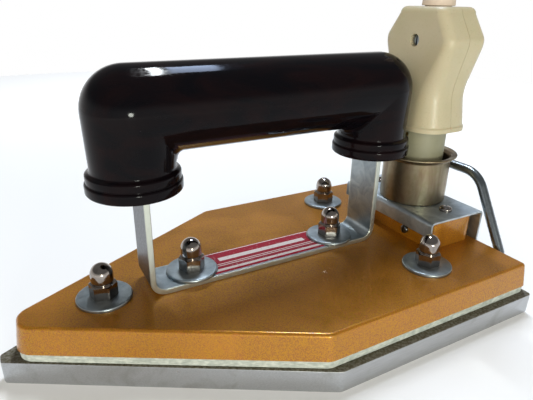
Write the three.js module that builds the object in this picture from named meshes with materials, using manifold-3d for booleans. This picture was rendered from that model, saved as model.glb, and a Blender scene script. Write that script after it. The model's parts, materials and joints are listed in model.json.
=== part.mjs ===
import * as THREE from 'three';
import { mergeVertices } from 'three/addons/utils/BufferGeometryUtils.js';
import Module from 'manifold-3d';

// Dry iron, in millimetres. X runs from the toe to the heel, Y across, Z up from the working face.
// The near side, with the plain wall of the terminal box in view, is -Y.

const fit = { sheet: 0.3, overrun: 2, chamfer: 0.4 };
const counts = {
  cornerSteps: 4, edgeSteps: 3, bendSteps: 4, rodSteps: 48, circleSides: 24, smallSides: 12, rodSides: 8,
};

// Plan of the cover: a narrow nose, two straight tapers, parallel sides and a square heel. The nose reaches
// past the front stud and the heel past the terminal box. A side spreads by a share of its taper's length.
const plan = {
  noseReach: 34.2, heelReach: 1.8, width: 131, nose: 10.8,
  noseRound: 7, shoulderRound: 6, heelRound: 2, tip: 4, tipShare: 0.96, taperShare: 0.568,
};

// How far the sole reaches past the cover on each side.
const soleMargin = { toe: 8.2, heel: 2.5, side: 4.5, shoulder: 3.2 };
const solePoint = { nose: 5, noseRound: 1.6, shoulderRound: 6, heelRound: 1.8, tip: 1, tipShare: 0.96 };

// The stack from the working face up. The weight plate is set in from the cover, the sheets from the weight.
const sole = { thickness: 11, edge: 1.2 };
const gasket = { margin: 0.9, thickness: 4, gap: 0.5 };
const weight = { inset: 9, thickness: 9 };
const mica = { inset: 1.5, thickness: 0.5 };
const element = { inset: 5, core: 0.8, ribbon: 0.4, ribbonWidth: 4, pitch: 9, pad: 8 };
const cover = { height: 11.7, wall: 1.2, flare: 1.5, edge: 1.5 };

// Fasteners, with a tall crowned nut. A stud stops short of the far face of what it is screwed into. Each gap
// is what lies between a washer and the strap's front leg, the terminal box or the strap's bend.
const stud = { radius: 3, soleFloor: 3, weightFloor: 2, crown: 4.5 };
const washer = { radius: 11.65, thickness: 1.6 };
const nut = { flats: 10.4, hexHeight: 6.2, height: 15, domeRadius: 4.7, bevel: 0.7 };
const nutTurns = { front: 0.2, rear_near: 0.5, rear_far: 0.9, strapFront: 0.35, strapRear: 0.1 };
const frontStud = { gap: 5.9 };
const rearStuds = { gap: 0.95, inset: 21.7 };

// Handle: a round bar on two legs with flared collars, standing clear of the cover.
const handle = { legSpacing: 121, barRadius: 17.5, stand: 46.8, legHeight: 31.7, pocketHeight: 15.8 };
const leg = { radius: 16.9, collarRadius: 19.4, collarHeight: 8.4, bead: 0.7, beadHeight: 4.6 };
const handleScrew = { edge: 3.75, radius: 2.2, headRadius: 3.4, headHeight: 2.8, short: 1 };
const insert = { radius: 3.8, length: 10 };

// Handle strap with its bolts and the label between them.
const strap = { width: 20, thickness: 2.5, inset: 0.25, bend: 5.75, topBend: 3, mitreShare: 0.5 };
const strapTab = { reach: 9.3, width: 12 };
const strapBolts = { gap: 3.2 };
const label = { thickness: 0.4, endInset: 8.4, nearMargin: 1.8, farMargin: 0.3 };

// Terminal box behind the handle, with its bent cap.
const inlet = { clear: 1, pinSpacing: 14 };
const box = { ahead: 17.5, behind: 14.2, round: 7.5, wall: 1.2, height: 14.75 };
const cap = { gap: 0.8, overhang: 4.1, side: 0.75, sheet: 1.2, bend: 1.3, frontLip: 8.65, backLip: 19 };
const capScrew = { gap: 3.9, edge: 3, radius: 1.9, headRadius: 3.3, headHeight: 2, length: 9 };
const earthScrew = { y: -15.5, drop: 2.6, radius: 1.4, headRadius: 2.3, headHeight: 1.9, length: 6 };
const earthNut = { flats: 5.4, thickness: 2.4 };
const insulator = { depth: 20, sideGap: 4.5, bridge: 6.85, foot: 9, neckWall: 1.7 };
const disc = { gap: 0.7, thickness: 3 };
const shroud = { room: 3.5, wall: 0.8, height: 26.5, lip: 3, lipHeight: 2.4, lipShare: 0.3 };
const pin = { radius: 2.5, height: 15, collarRadius: 3.9, collarHeight: 1.5, tailRadius: 1.8, past: 0.5 };
const pinNut = { flats: 7, thickness: 3 };
const lead = { width: 6, thickness: 0.8, forward: 7.5, foot: 5, bend: 1.6, past: 3.6 };
const leadWindow = { width: 26, length: 12, round: 4, back: 1.5 };

// Heel rest: one bent rod in a plane across the heel, its ends held in the weight plate.
const rest = { radius: 2.5, behind: 0.7, height: 33.3, inset: 16.8, lean: 23.9, rise: 5.1, hold: 13 };
const restBend = { top: 14, foot: 5 };

// Connector: two moulded shells round a sleeve that stands in the shroud. Widths lie across the iron.
const shell = { clear: 14.45, wall: 2.2, seam: 0.1 };
const rim = { width: 40, lip: 1, round: 12, height: 2, step: 0.7 };
const skirt = { width: 37.6, wall: 1.7, round: 11, height: 7 };
const waist = { width: 33, depth: 28, round: 9, low: 17, high: 22 };
const brow = { width: 44.5, depth: 26.4, round: 5, low: 42, high: 45.5 };
const crown = { width: 31, round: 5, height: 56, top: 59.4, edge: 3 };
const sleeve = { wall: 3, top: 6, groove: 1.4, grooveLow: 1.8, grooveHigh: 3 };
const keyway = { width: 8, depth: 1.5 };
const contact = { radius: 3.5, bore: 2.8, recess: 2, beyond: 5, stub: 9.4 };
const spring = { thickness: 0.6, width: 7, bend: 1.2, proud: 1.1, hook: 3, below: 2.6, above: 4 };
const springHeights = { knee: 3.5, bowBottom: 10, bowTop: 15, shoulder: 22.5 };
const shellScrew = { radius: 1.8, headRadius: 2.7, headDepth: 3.4, headHeight: 2, boss: 5 };
const shellNut = { flats: 6.2, thickness: 2.6, wall: 2 };
const bush = {
  radius: 8, tipRadius: 7.4, height: 9, neck: 6.4, flange: 8.4, flangeGap: 1.9, flangeHeight: 2.4, bore: 3.6,
};

// Places along the iron, worked out from the handle: the connector lifts off clear of the bar's end and of the
// collar, the rear studs stand ahead of the terminal box and the front stud ahead of the strap.
const legX = handle.legSpacing / 2;
const strapX = legX - strap.inset;
const sleeveRadius = inlet.pinSpacing / 2 + contact.radius + sleeve.wall;
const springReach = sleeveRadius + spring.proud;
const skirtDepth = (sleeveRadius + fit.sheet + skirt.wall) * 2;
const rimDepth = skirtDepth + rim.lip * 2;
const connectorReach = Math.max(handle.barRadius + rimDepth / 2, leg.collarRadius + springReach);
const inletX = legX + connectorReach + inlet.clear;
const boxFront = inletX - box.ahead;
const boxBack = inletX + box.behind;
const frontStudX = -strapX - frontStud.gap - washer.radius;
const rearStudX = boxFront - rearStuds.gap - washer.radius;
const rearStudY = plan.width / 2 - rearStuds.inset;
const strapBoltX = strapX - strap.thickness / 2 - strap.bend - strapBolts.gap - washer.radius;

// Widths at the terminals, from the shroud round the sleeve out to the walls of the box.
const shroudRadius = sleeveRadius + shroud.room + shroud.wall;
const capScrewY = shroudRadius + capScrew.gap + capScrew.headRadius;
const insulatorHalf = capScrewY + capScrew.edge;
const boxWidth = (insulatorHalf + insulator.sideGap + box.wall) * 2;

const coverPlan = {
  ...plan, toe: plan.noseReach - frontStudX, heel: boxBack + plan.heelReach,
  taper: (plan.width - plan.nose) / 2 / plan.taperShare,
};
const solePlan = {
  ...solePoint, toe: coverPlan.toe + soleMargin.toe, heel: coverPlan.heel + soleMargin.heel,
  width: plan.width + soleMargin.side * 2, taper: coverPlan.taper + soleMargin.toe + soleMargin.shoulder,
};

const colours = {
  paint: 0xb5742a, zinc: 0xaab0b4, chrome: 0xc9c6c0, steel: 0xb7bcc2, iron: 0x5a5754,
  bakelite: 0x17100e, cream: 0xc6bd98, ceramic: 0x9a9a80, fibre: 0xcfd2c4, mica: 0xb8a070,
  brass: 0xc09a48, label: 0xa81c38, rubber: 0xc8b8a4, nickel: 0xa89a88,
};

const wasm = await Module();
wasm.setup();

function material(name, colour, roughness, metalness) {
  const made = new THREE.MeshStandardMaterial({ color: colour, roughness, metalness });
  made.name = name;
  return made;
}

// Merges shared corners and leaves out triangles that have collapsed to a line.
function welded(geometry) {
  const bare = geometry.clone();
  bare.deleteAttribute('normal');
  bare.deleteAttribute('uv');
  const merged = mergeVertices(bare);
  const kept = [];
  for (let at = 0; at < merged.index.count; at += 3) {
    const [a, b, c] = [0, 1, 2].map((corner) => merged.index.getX(at + corner));
    if (a !== b && b !== c && c !== a) kept.push(a, b, c);
  }
  merged.setIndex(kept);
  merged.computeVertexNormals();
  return merged;
}

function toSolid(geometry) {
  const shape = welded(geometry);
  return new wasm.Manifold(new wasm.Mesh({
    numProp: 3,
    vertProperties: Float32Array.from(shape.attributes.position.array),
    triVerts: Uint32Array.from(shape.index.array),
  }));
}

function fromSolid(solid) {
  const { vertProperties, triVerts } = solid.getMesh();
  const geometry = new THREE.BufferGeometry();
  geometry.setAttribute('position', new THREE.BufferAttribute(vertProperties, 3));
  geometry.setIndex(new THREE.BufferAttribute(triVerts, 1));
  geometry.computeVertexNormals();
  return geometry;
}

function cut(geometry, tools) {
  return fromSolid(tools.reduce((solid, tool) => solid.subtract(toSolid(tool)), toSolid(geometry)));
}

function join(pieces) {
  return fromSolid(pieces.slice(1).reduce((solid, piece) => solid.add(toSolid(piece)), toSolid(pieces[0])));
}

function common(geometry, other) {
  return fromSolid(toSolid(geometry).intersect(toSolid(other)));
}

// A path through corners, each rounded to its radius; a closed path rounds its first and last too.
function rounded(corners, radii, closed, arcSteps) {
  const path = [];
  corners.forEach((corner, index) => {
    const isEnd = index === 0 || index === corners.length - 1;
    if (isEnd && !closed) {
      path.push(corner.clone());
      return;
    }
    const before = corners[(index + corners.length - 1) % corners.length];
    const after = corners[(index + 1) % corners.length];
    const inward = corner.clone().sub(before).normalize();
    const outward = after.clone().sub(corner).normalize();
    const turn = inward.angleTo(outward);
    const side = outward.clone().addScaledVector(inward, -Math.cos(turn)).normalize();
    const radius = radii[index];
    const start = corner.clone().addScaledVector(inward, -radius * Math.tan(turn / 2));
    for (let step = 0; step <= arcSteps; step += 1) {
      const angle = turn * step / arcSteps;
      path.push(start.clone()
        .addScaledVector(inward, radius * Math.sin(angle))
        .addScaledVector(side, radius * (1 - Math.cos(angle))));
    }
  });
  return path;
}

const point = (x, y, z = 0) => new THREE.Vector3(x, y, z);
const flat = (points) => points.map((corner) => new THREE.Vector2(corner.x, corner.y));

// The outline of a plan grown by a margin, or shrunk by a negative one.
function outline(margin, z = 0, from = coverPlan) {
  const lean = Math.atan2(from.width / 2 - from.nose / 2, from.taper);
  const sharpY = from.nose / 2 + margin * (1 - Math.sin(lean)) / Math.cos(lean);
  const toeY = Math.max(sharpY, from.tip);
  const toeX = -from.toe - margin + (toeY - sharpY) / Math.tan(lean);
  const shoulderX = -from.toe + from.taper + margin * (1 - 1 / Math.cos(lean)) / Math.tan(lean);
  const sideY = from.width / 2 + margin;
  const heelX = from.heel + margin;
  const round = (radius) => Math.max(radius + margin, fit.chamfer);
  const nose = Math.min(round(from.noseRound), from.tipShare * toeY / Math.tan(Math.PI / 4 - lean / 2));
  const corners = [
    point(toeX, -toeY, z), point(shoulderX, -sideY, z), point(heelX, -sideY, z),
    point(heelX, sideY, z), point(shoulderX, sideY, z), point(toeX, toeY, z),
  ];
  const radii = [nose, round(from.shoulderRound), round(from.heelRound),
    round(from.heelRound), round(from.shoulderRound), nose];
  return rounded(corners, radii, true, counts.cornerSteps);
}

// A rectangle centred on the origin with round corners.
function roundedRectangle(length, width, round, z = 0) {
  const [x, y] = [length / 2, width / 2];
  const corners = [point(-x, -y, z), point(x, -y, z), point(x, y, z), point(-x, y, z)];
  return rounded(corners, corners.map(() => round), true, counts.cornerSteps);
}

// A closed body through level rings of equal length; its first ring faces down and its last one up.
function loft(rings) {
  const count = rings[0].length;
  const positions = rings.flatMap((ring) => ring.flatMap((corner) => corner.toArray()));
  const indices = [];
  for (let level = 0; level + 1 < rings.length; level += 1) {
    for (let at = 0; at < count; at += 1) {
      const [a, b] = [level * count + at, level * count + (at + 1) % count];
      indices.push(a, b, b + count, a, b + count, a + count);
    }
  }
  const last = (rings.length - 1) * count;
  THREE.ShapeUtils.triangulateShape(flat(rings[0]), []).forEach(([a, b, c]) => indices.push(a, c, b));
  THREE.ShapeUtils.triangulateShape(flat(rings[rings.length - 1]), [])
    .forEach(([a, b, c]) => indices.push(last + a, last + b, last + c));
  const geometry = new THREE.BufferGeometry();
  geometry.setAttribute('position', new THREE.Float32BufferAttribute(positions, 3));
  geometry.setIndex(indices);
  geometry.computeVertexNormals();
  return geometry;
}

function circle(x, y, radius) {
  return new THREE.Path().absarc(x, y, radius, 0, Math.PI * 2, true);
}

// A level plate of one thickness, standing on z, with holes through it.
function plate(points, holes, thickness, z) {
  const shape = new THREE.Shape(flat(points));
  shape.holes.push(...holes);
  const options = { depth: thickness, bevelEnabled: false, curveSegments: counts.smallSides / 2 };
  return new THREE.ExtrudeGeometry(shape, options).translate(0, 0, z);
}

// A turned body about Z from pairs of radius and height, listed upwards along its outside.
function turned(profile, segments = counts.smallSides) {
  const points = profile.map(([radius, height]) => new THREE.Vector2(radius, height));
  return welded(new THREE.LatheGeometry(points, segments).rotateX(Math.PI / 2));
}

function rod(radius, low, high, segments = counts.smallSides) {
  return turned([[0, low], [radius, low], [radius, high], [0, high]], segments);
}

function ring(inner, outer, low, high, segments = counts.circleSides) {
  return turned([[inner, low], [outer, low], [outer, high], [inner, high], [inner, low]], segments);
}

function block(lowX, highX, lowY, highY, lowZ, highZ) {
  const brick = new THREE.BoxGeometry(highX - lowX, highY - lowY, highZ - lowZ);
  return brick.translate((lowX + highX) / 2, (lowY + highY) / 2, (lowZ + highZ) / 2);
}

function hexagon(flats, low, high) {
  const radius = flats / Math.sqrt(3);
  return turned([[0, low], [radius, low], [radius, high], [0, high]], 6);
}

// A bent strip: a path in the XZ plane given a thickness and a width along Y.
function strip(path, thickness, width) {
  const run = (index) => path[index + 1].clone().sub(path[index]).normalize();
  const offset = (side) => path.map((here, index) => {
    const into = run(Math.max(index - 1, 0));
    const out = run(Math.min(index, path.length - 2));
    const along = into.clone().add(out).normalize();
    const reach = side * thickness / 2 / Math.max(along.dot(into), strap.mitreShare);
    return new THREE.Vector2(here.x - along.z * reach, here.z + along.x * reach);
  });
  const section = new THREE.Shape([...offset(-1), ...offset(1).reverse()]);
  const options = { depth: width, bevelEnabled: false };
  return new THREE.ExtrudeGeometry(section, options).rotateX(Math.PI / 2).translate(0, width / 2, 0);
}

const iron = new THREE.Group();

function add(name, geometry, finish, place = point(0, 0), spin = 0, parent = iron) {
  const mesh = new THREE.Mesh(geometry, finish.clone());
  mesh.name = name;
  mesh.position.copy(place);
  mesh.rotation.z = spin;
  parent.add(mesh);
  return mesh;
}

const finishes = {
  paint: material('gold hammer paint', colours.paint, 0.45, 0.5),
  zinc: material('zinc plated steel', colours.zinc, 0.4, 0.9),
  chrome: material('nickel plated brass', colours.chrome, 0.15, 1),
  steel: material('bright steel', colours.steel, 0.25, 1),
  iron: material('cast iron', colours.iron, 0.7, 0.8),
  bakelite: material('black bakelite', colours.bakelite, 0.12, 0),
  cream: material('cream moulding', colours.cream, 0.4, 0),
  ceramic: material('grey ceramic', colours.ceramic, 0.6, 0),
  fibre: material('ceramic fibre', colours.fibre, 0.95, 0),
  mica: material('mica sheet', colours.mica, 0.3, 0),
  brass: material('brass', colours.brass, 0.3, 1),
  label: material('printed label', colours.label, 0.35, 0),
  rubber: material('cord bush', colours.rubber, 0.7, 0),
  nickel: material('dull nickel', colours.nickel, 0.3, 1),
};

// Levels of the stack, each worked out from the one below.
const soleTop = sole.thickness;
const elementBottom = soleTop + mica.thickness;
const elementThickness = element.core + element.ribbon * 2;
const elementTop = elementBottom + elementThickness;
const weightBottom = elementTop + mica.thickness;
const weightTop = weightBottom + weight.thickness;
const coverBottom = soleTop + gasket.thickness;
const coverTop = coverBottom + cover.height;
const ceiling = coverTop - cover.wall;
const strapTop = coverTop + strap.thickness;
const studHole = stud.radius + fit.sheet;
const soleGrip = sole.thickness - stud.soleFloor;
const weightGrip = weight.thickness - stud.weightFloor;
const nutGrip = nut.height - stud.crown;
const micaInset = weight.inset + mica.inset;
const elementInset = weight.inset + element.inset;
const weightHeel = coverPlan.heel - weight.inset;

const studPlaces = {
  front: point(frontStudX, 0),
  rear_near: point(rearStudX, -rearStudY),
  rear_far: point(rearStudX, rearStudY),
};
const strapPlaces = {
  front: point(-strapBoltX, 0),
  rear: point(strapBoltX, 0),
};
const leadPlaces = { near: -inlet.pinSpacing / 2, far: inlet.pinSpacing / 2 };
const leadX = inletX - lead.forward;
const windowFront = leadX - lead.foot - leadWindow.back;
const windowX = windowFront + leadWindow.length / 2;

const studHoles = () => Object.values(studPlaces).map(({ x, y }) => circle(x, y, studHole));
const strapHoles = () => Object.values(strapPlaces).map(({ x, y }) => circle(x, y, studHole));
const shifted = (geometry, x, y, z = 0) => geometry.translate(x, y, z);

function leadWindowOutline() {
  return roundedRectangle(leadWindow.length, leadWindow.width, leadWindow.round)
    .map((corner) => corner.add(point(windowX, 0)));
}

const windowPath = () => new THREE.Path(flat(leadWindowOutline()).reverse());

function solePlate() {
  const rings = [];
  for (let step = 0; step <= counts.edgeSteps; step += 1) {
    const angle = Math.PI / 2 * step / counts.edgeSteps;
    const inset = sole.edge * (1 - Math.sin(angle));
    rings.push(outline(-inset, sole.edge * (1 - Math.cos(angle)), solePlan));
  }
  rings.push(outline(0, soleTop - fit.chamfer, solePlan), outline(-fit.chamfer, soleTop, solePlan));
  const holes = Object.values(studPlaces).map(({ x, y }) => (
    shifted(rod(studHole, soleTop - soleGrip - fit.sheet, soleTop + fit.overrun), x, y)));
  return cut(loft(rings), holes);
}

function gasketFrame() {
  const opening = new THREE.Path(flat(outline(gasket.gap - weight.inset)).reverse());
  return plate(outline(gasket.margin), [opening], gasket.thickness, soleTop);
}

function micaSheet(z, openings) {
  return plate(outline(-micaInset), [...studHoles(), ...openings], mica.thickness, z);
}

// The core sheet with its ribbon turns, cut round the studs, and the pads that take the leads.
function heatingElement() {
  const middle = elementBottom + element.ribbon;
  const pieces = [plate(outline(-elementInset), [], element.core, middle)];
  const edge = outline(-elementInset - element.ribbonWidth);
  const low = Math.min(...edge.map((corner) => corner.x)) + element.pitch;
  const high = leadX - lead.foot - element.pad / 2;
  const halfWidthAt = (x) => {
    const side = edge.filter((corner) => corner.y > 0).sort((a, b) => a.x - b.x);
    const after = side.findIndex((corner) => corner.x > x);
    const [from, to] = [side[Math.max(after - 1, 0)], side[Math.max(after, 0)]];
    const share = (x - from.x) / Math.max(to.x - from.x, fit.sheet);
    return from.y + (to.y - from.y) * Math.min(Math.max(share, 0), 1);
  };
  for (let x = low; x + element.ribbonWidth < high; x += element.pitch) {
    const half = Math.min(halfWidthAt(x), halfWidthAt(x + element.ribbonWidth));
    pieces.push(block(x, x + element.ribbonWidth, -half, half, elementBottom, elementTop));
  }
  Object.values(leadPlaces).forEach((y) => {
    const pad = element.pad / 2;
    const x = leadX - lead.foot / 2;
    pieces.push(block(x - pad, x + pad, y - pad / 2, y + pad / 2, elementBottom, elementTop));
  });
  const clear = studHole + fit.overrun;
  const holes = Object.values(studPlaces).map(({ x, y }) => (
    shifted(rod(clear, elementBottom - fit.overrun, elementTop + fit.overrun), x, y)));
  return cut(join(pieces), holes);
}

const capFront = boxFront - cap.gap - cap.sheet;
const capBack = boxBack + cap.overhang;
const restX = capBack + rest.behind + rest.radius;
const restY = plan.width / 2 - rest.inset;
const restTopY = restY - rest.lean;
const restEnd = weightHeel - rest.hold;
const restFoot = weightBottom + rest.rise;

// Round passages along X for the ends of the heel rest.
function restPassages(fromX, toX) {
  const radius = rest.radius + fit.sheet;
  return [-restY, restY].map((y) => (
    rod(radius, fromX, toX).rotateY(Math.PI / 2).translate(0, y, restFoot)));
}

function weightPlate() {
  const notch = block(windowFront, weightHeel + fit.overrun, -leadWindow.width / 2, leadWindow.width / 2,
    weightBottom - fit.overrun, weightTop + fit.overrun);
  const blind = Object.values(strapPlaces).map(({ x, y }) => (
    shifted(rod(studHole, weightTop - weightGrip - fit.sheet, weightTop + fit.overrun), x, y)));
  const bores = restPassages(restEnd - fit.sheet, weightHeel + fit.overrun);
  const slab = plate(outline(-weight.inset), studHoles(), weight.thickness, weightBottom);
  return cut(slab, [notch, ...blind, ...bores]);
}

function insulatingSheet() {
  const holes = [...studHoles(), ...strapHoles(), windowPath()];
  return plate(outline(-weight.inset), holes, ceiling - weightTop, weightTop);
}

// The pressed cover as one skin: up the inside, round the foot and up the flared outside.
function coverShell() {
  const inner = -cover.wall;
  const rings = [outline(inner - cover.edge, ceiling), outline(inner, ceiling - cover.edge)];
  rings.push(outline(inner + cover.flare, coverBottom), outline(cover.flare, coverBottom));
  for (let step = 0; step <= counts.edgeSteps; step += 1) {
    const angle = Math.PI / 2 * step / counts.edgeSteps;
    const inset = cover.edge * (1 - Math.cos(angle));
    rings.push(outline(-inset, coverTop - cover.edge * (1 - Math.sin(angle))));
  }
  const [low, high] = [ceiling - fit.overrun, coverTop + fit.overrun];
  const holes = [...Object.values(studPlaces), ...Object.values(strapPlaces)].map(({ x, y }) => (
    shifted(rod(studHole, low, high), x, y)));
  const opening = plate(leadWindowOutline(), [], high - low, low);
  const sides = restPassages(restEnd, coverPlan.heel + cover.flare + fit.overrun);
  return cut(loft(rings), [...holes, opening, ...sides]);
}

function studRod(low, high) {
  const tip = stud.radius - fit.chamfer;
  return turned([[0, low], [tip, low], [stud.radius, low + fit.chamfer],
    [stud.radius, high - fit.chamfer], [tip, high], [0, high]]);
}

// A tall crowned nut, standing on its flat face, with a blind hole.
function domeNut() {
  const corner = nut.flats / Math.sqrt(3);
  const body = hexagon(nut.flats, 0, nut.hexHeight);
  const bevelled = common(body, turned([[0, 0], [corner - nut.bevel / 2, 0], [corner, nut.bevel / 2],
    [corner, nut.hexHeight - nut.bevel], [corner - nut.bevel * 2, nut.hexHeight], [0, nut.hexHeight]]));
  const profile = [[0, nut.hexHeight - nut.bevel], [nut.domeRadius, nut.hexHeight - nut.bevel]];
  const springLine = nut.height - nut.domeRadius;
  for (let step = 0; step <= counts.cornerSteps; step += 1) {
    const angle = Math.PI / 2 * step / counts.cornerSteps;
    const radius = nut.domeRadius * Math.cos(angle);
    profile.push([step === counts.cornerSteps ? 0 : radius, springLine + nut.domeRadius * Math.sin(angle)]);
  }
  const hole = rod(studHole, -fit.overrun, nutGrip + fit.sheet);
  return cut(join([bevelled, turned(profile)]), [hole]);
}

function washerRing() {
  const edge = fit.chamfer / 2;
  return turned([[studHole, 0], [washer.radius - edge, 0], [washer.radius, edge],
    [washer.radius, washer.thickness - edge], [washer.radius - edge, washer.thickness],
    [studHole, washer.thickness], [studHole, 0]], counts.circleSides);
}

// One stud with its washer and nut; the seat is the face that the washer lies on.
function addFastening(prefix, suffix, place, bottom, seat, turn) {
  const top = seat + washer.thickness + nutGrip;
  add(`${prefix}stud_${suffix}`, studRod(bottom, top), finishes.steel, place);
  add(`${prefix}washer_${suffix}`, washerRing(), finishes.zinc, point(place.x, place.y, seat));
  const nutPlace = point(place.x, place.y, seat + washer.thickness);
  add(`${prefix}dome_nut_${suffix}`, domeNut(), finishes.chrome, nutPlace, turn);
}

add('sole_plate', solePlate(), finishes.steel);
add('gasket_frame', gasketFrame(), finishes.fibre);
add('mica_lower', micaSheet(soleTop, []), finishes.mica);
add('heating_element', heatingElement(), finishes.mica);
add('mica_upper', micaSheet(elementTop, [windowPath()]), finishes.mica);
add('weight_plate', weightPlate(), finishes.iron);
add('insulating_sheet', insulatingSheet(), finishes.fibre);
add('cover', coverShell(), finishes.paint);
Object.entries(studPlaces).forEach(([suffix, place]) => (
  addFastening('', suffix, place, soleTop - soleGrip, coverTop, nutTurns[suffix])));
addFastening('strap_', 'front', strapPlaces.front, weightTop - weightGrip, strapTop, nutTurns.strapFront);
addFastening('strap_', 'rear', strapPlaces.rear, weightTop - weightGrip, strapTop, nutTurns.strapRear);

// Handle levels, from the collar's foot to the tab that carries the screw.
const handleBottom = coverTop + handle.stand;
const barHeight = handleBottom + handle.legHeight;
const pocketTop = handleBottom + handle.pocketHeight;
const tabTop = pocketTop - fit.sheet;
const tabMiddle = tabTop - strap.thickness / 2;
const strapLine = strapX - strap.thickness / 2;
const tabEnd = strapX - strap.thickness - strapTab.reach;
const screwX = tabEnd + handleScrew.edge;

// The strap: a shallow U on the cover whose legs end in inward tabs.
function handleStrap() {
  const middle = coverTop + strap.thickness / 2;
  const corners = [
    point(-tabEnd, 0, tabMiddle), point(-strapLine, 0, tabMiddle), point(-strapLine, 0, middle),
    point(strapLine, 0, middle), point(strapLine, 0, tabMiddle), point(tabEnd, 0, tabMiddle),
  ];
  const radii = [0, strap.topBend, strap.bend, strap.bend, strap.topBend, 0];
  const band = strip(rounded(corners, radii, false, counts.bendSteps), strap.thickness, strap.width);
  const below = tabTop - strap.thickness - strap.topBend;
  const [inner, outer] = [strapTab.width / 2, strap.width / 2 + fit.overrun];
  const inside = strapX - strap.thickness;
  const trims = [-1, 1].flatMap((end) => [-1, 1].map((side) => {
    const [nearX, farX] = [end * (tabEnd - fit.overrun), end * inside].sort((a, b) => a - b);
    const [nearY, farY] = [side * inner, side * outer].sort((a, b) => a - b);
    return block(nearX, farX, nearY, farY, below, tabTop + fit.overrun);
  }));
  const bolts = Object.values(strapPlaces).map(({ x, y }) => (
    shifted(rod(studHole, coverTop - fit.overrun, strapTop + fit.overrun), x, y)));
  const clear = handleScrew.radius + fit.sheet;
  const screws = [-screwX, screwX].map((x) => (
    shifted(rod(clear, below, tabTop + fit.overrun), x, 0)));
  return cut(band, [...trims, ...bolts, ...screws]);
}

// A printed plate between the strap's washers, hollowed to clear them.
function labelPlate() {
  const end = strapBoltX - label.endInset;
  const [near, far] = [label.nearMargin - strap.width / 2, strap.width / 2 - label.farMargin];
  const sheet = block(-end, end, near, far, strapTop, strapTop + label.thickness);
  const clear = washer.radius + fit.sheet;
  const hollows = Object.values(strapPlaces).map((place) => (
    shifted(rod(clear, strapTop - fit.overrun, strapTop + fit.overrun, counts.circleSides), place.x, place.y)));
  return cut(sheet, hollows);
}

// One leg of the handle about its own axis, flaring into a beaded collar.
function handleLeg() {
  const { radius, collarRadius, collarHeight, bead, beadHeight } = leg;
  const base = handleBottom;
  return turned([[0, base], [collarRadius - bead, base], [collarRadius, base + bead],
    [collarRadius, base + beadHeight - bead], [collarRadius - bead, base + beadHeight],
    [collarRadius - bead, base + collarHeight - bead], [radius + bead, base + collarHeight],
    [radius, base + collarHeight + bead * 2], [radius, base + collarHeight * 2],
    [handle.barRadius, barHeight], [0, barHeight]], counts.circleSides);
}

function handleMoulding() {
  const bar = rod(handle.barRadius, -legX, legX, counts.circleSides).rotateY(Math.PI / 2);
  const pieces = [bar.translate(0, 0, barHeight)];
  [-legX, legX].forEach((x) => {
    const end = new THREE.SphereGeometry(handle.barRadius, counts.circleSides, counts.circleSides / 2);
    pieces.push(shifted(handleLeg(), x, 0), shifted(end, x, 0, barHeight));
  });
  const low = handleBottom - fit.overrun;
  const pockets = [-1, 1].flatMap((end) => {
    const slot = [end * (strapX + fit.sheet), end * (strapX - strap.thickness - fit.sheet)];
    const tab = [end * (strapX + fit.sheet), end * (tabEnd - fit.sheet)];
    const [slotLow, slotHigh] = slot.sort((a, b) => a - b);
    const [tabLow, tabHigh] = tab.sort((a, b) => a - b);
    const halfSlot = strap.width / 2 + fit.sheet;
    const halfTab = strapTab.width / 2 + fit.sheet;
    const boreTop = pocketTop + insert.length + fit.sheet;
    const bore = rod(insert.radius + fit.sheet, pocketTop - fit.overrun, boreTop);
    return [block(slotLow, slotHigh, -halfSlot, halfSlot, low, pocketTop),
      block(tabLow, tabHigh, -halfTab, halfTab, low, pocketTop), shifted(bore, end * screwX, 0)];
  });
  return cut(join(pieces), pockets);
}

// A screw standing head up, its head seated on zero.
function panScrew({ radius, headRadius, headHeight, length }) {
  const edge = headHeight / 3;
  return turned([[0, -length], [radius, -length], [radius, 0], [headRadius, 0],
    [headRadius, headHeight - edge], [headRadius - edge, headHeight], [0, headHeight]]);
}

add('handle_strap', handleStrap(), finishes.zinc);
add('label_plate', labelPlate(), finishes.label);
add('handle', handleMoulding(), finishes.bakelite);
Object.entries({ front: -screwX, rear: screwX }).forEach(([suffix, x]) => {
  const screw = panScrew({ ...handleScrew, length: strap.thickness + insert.length - handleScrew.short });
  const seat = point(x, 0, tabTop - strap.thickness);
  add(`handle_screw_${suffix}`, screw.rotateX(Math.PI), finishes.steel, seat);
  const bore = handleScrew.radius + fit.sheet;
  const nutBody = ring(bore, insert.radius, 0, insert.length, counts.smallSides);
  add(`handle_insert_${suffix}`, nutBody, finishes.brass, point(x, 0, pocketTop));
});

// Terminal box levels.
const boxTop = coverTop + box.height;
const capTop = boxTop + cap.sheet;
const bridgeBottom = boxTop - insulator.bridge;
const discBottom = capTop + shroud.wall;
const discTop = discBottom + disc.thickness;
const neckRadius = inlet.pinSpacing / 2 + pin.tailRadius + insulator.neckWall;
const neckHole = neckRadius + fit.sheet;
const pinHole = pin.tailRadius + fit.sheet;
const frontLipBottom = capTop - cap.frontLip;
const earthHeight = frontLipBottom - earthScrew.drop;
const pinNutSeat = bridgeBottom - lead.thickness - pinNut.thickness;

function terminalBox() {
  const length = boxBack - boxFront;
  const centre = point((boxFront + boxBack) / 2, 0);
  const walls = (inset) => roundedRectangle(length - inset * 2, boxWidth - inset * 2, box.round - inset)
    .map((corner) => corner.add(centre));
  const opening = new THREE.Path(flat(walls(box.wall)).reverse());
  const frame = plate(walls(0), [opening], box.height, coverTop);
  const hole = rod(earthScrew.radius + fit.sheet, boxFront - fit.overrun, boxFront + box.wall + fit.overrun);
  return cut(frame, [hole.rotateY(Math.PI / 2).translate(0, earthScrew.y, earthHeight)]);
}

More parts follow.
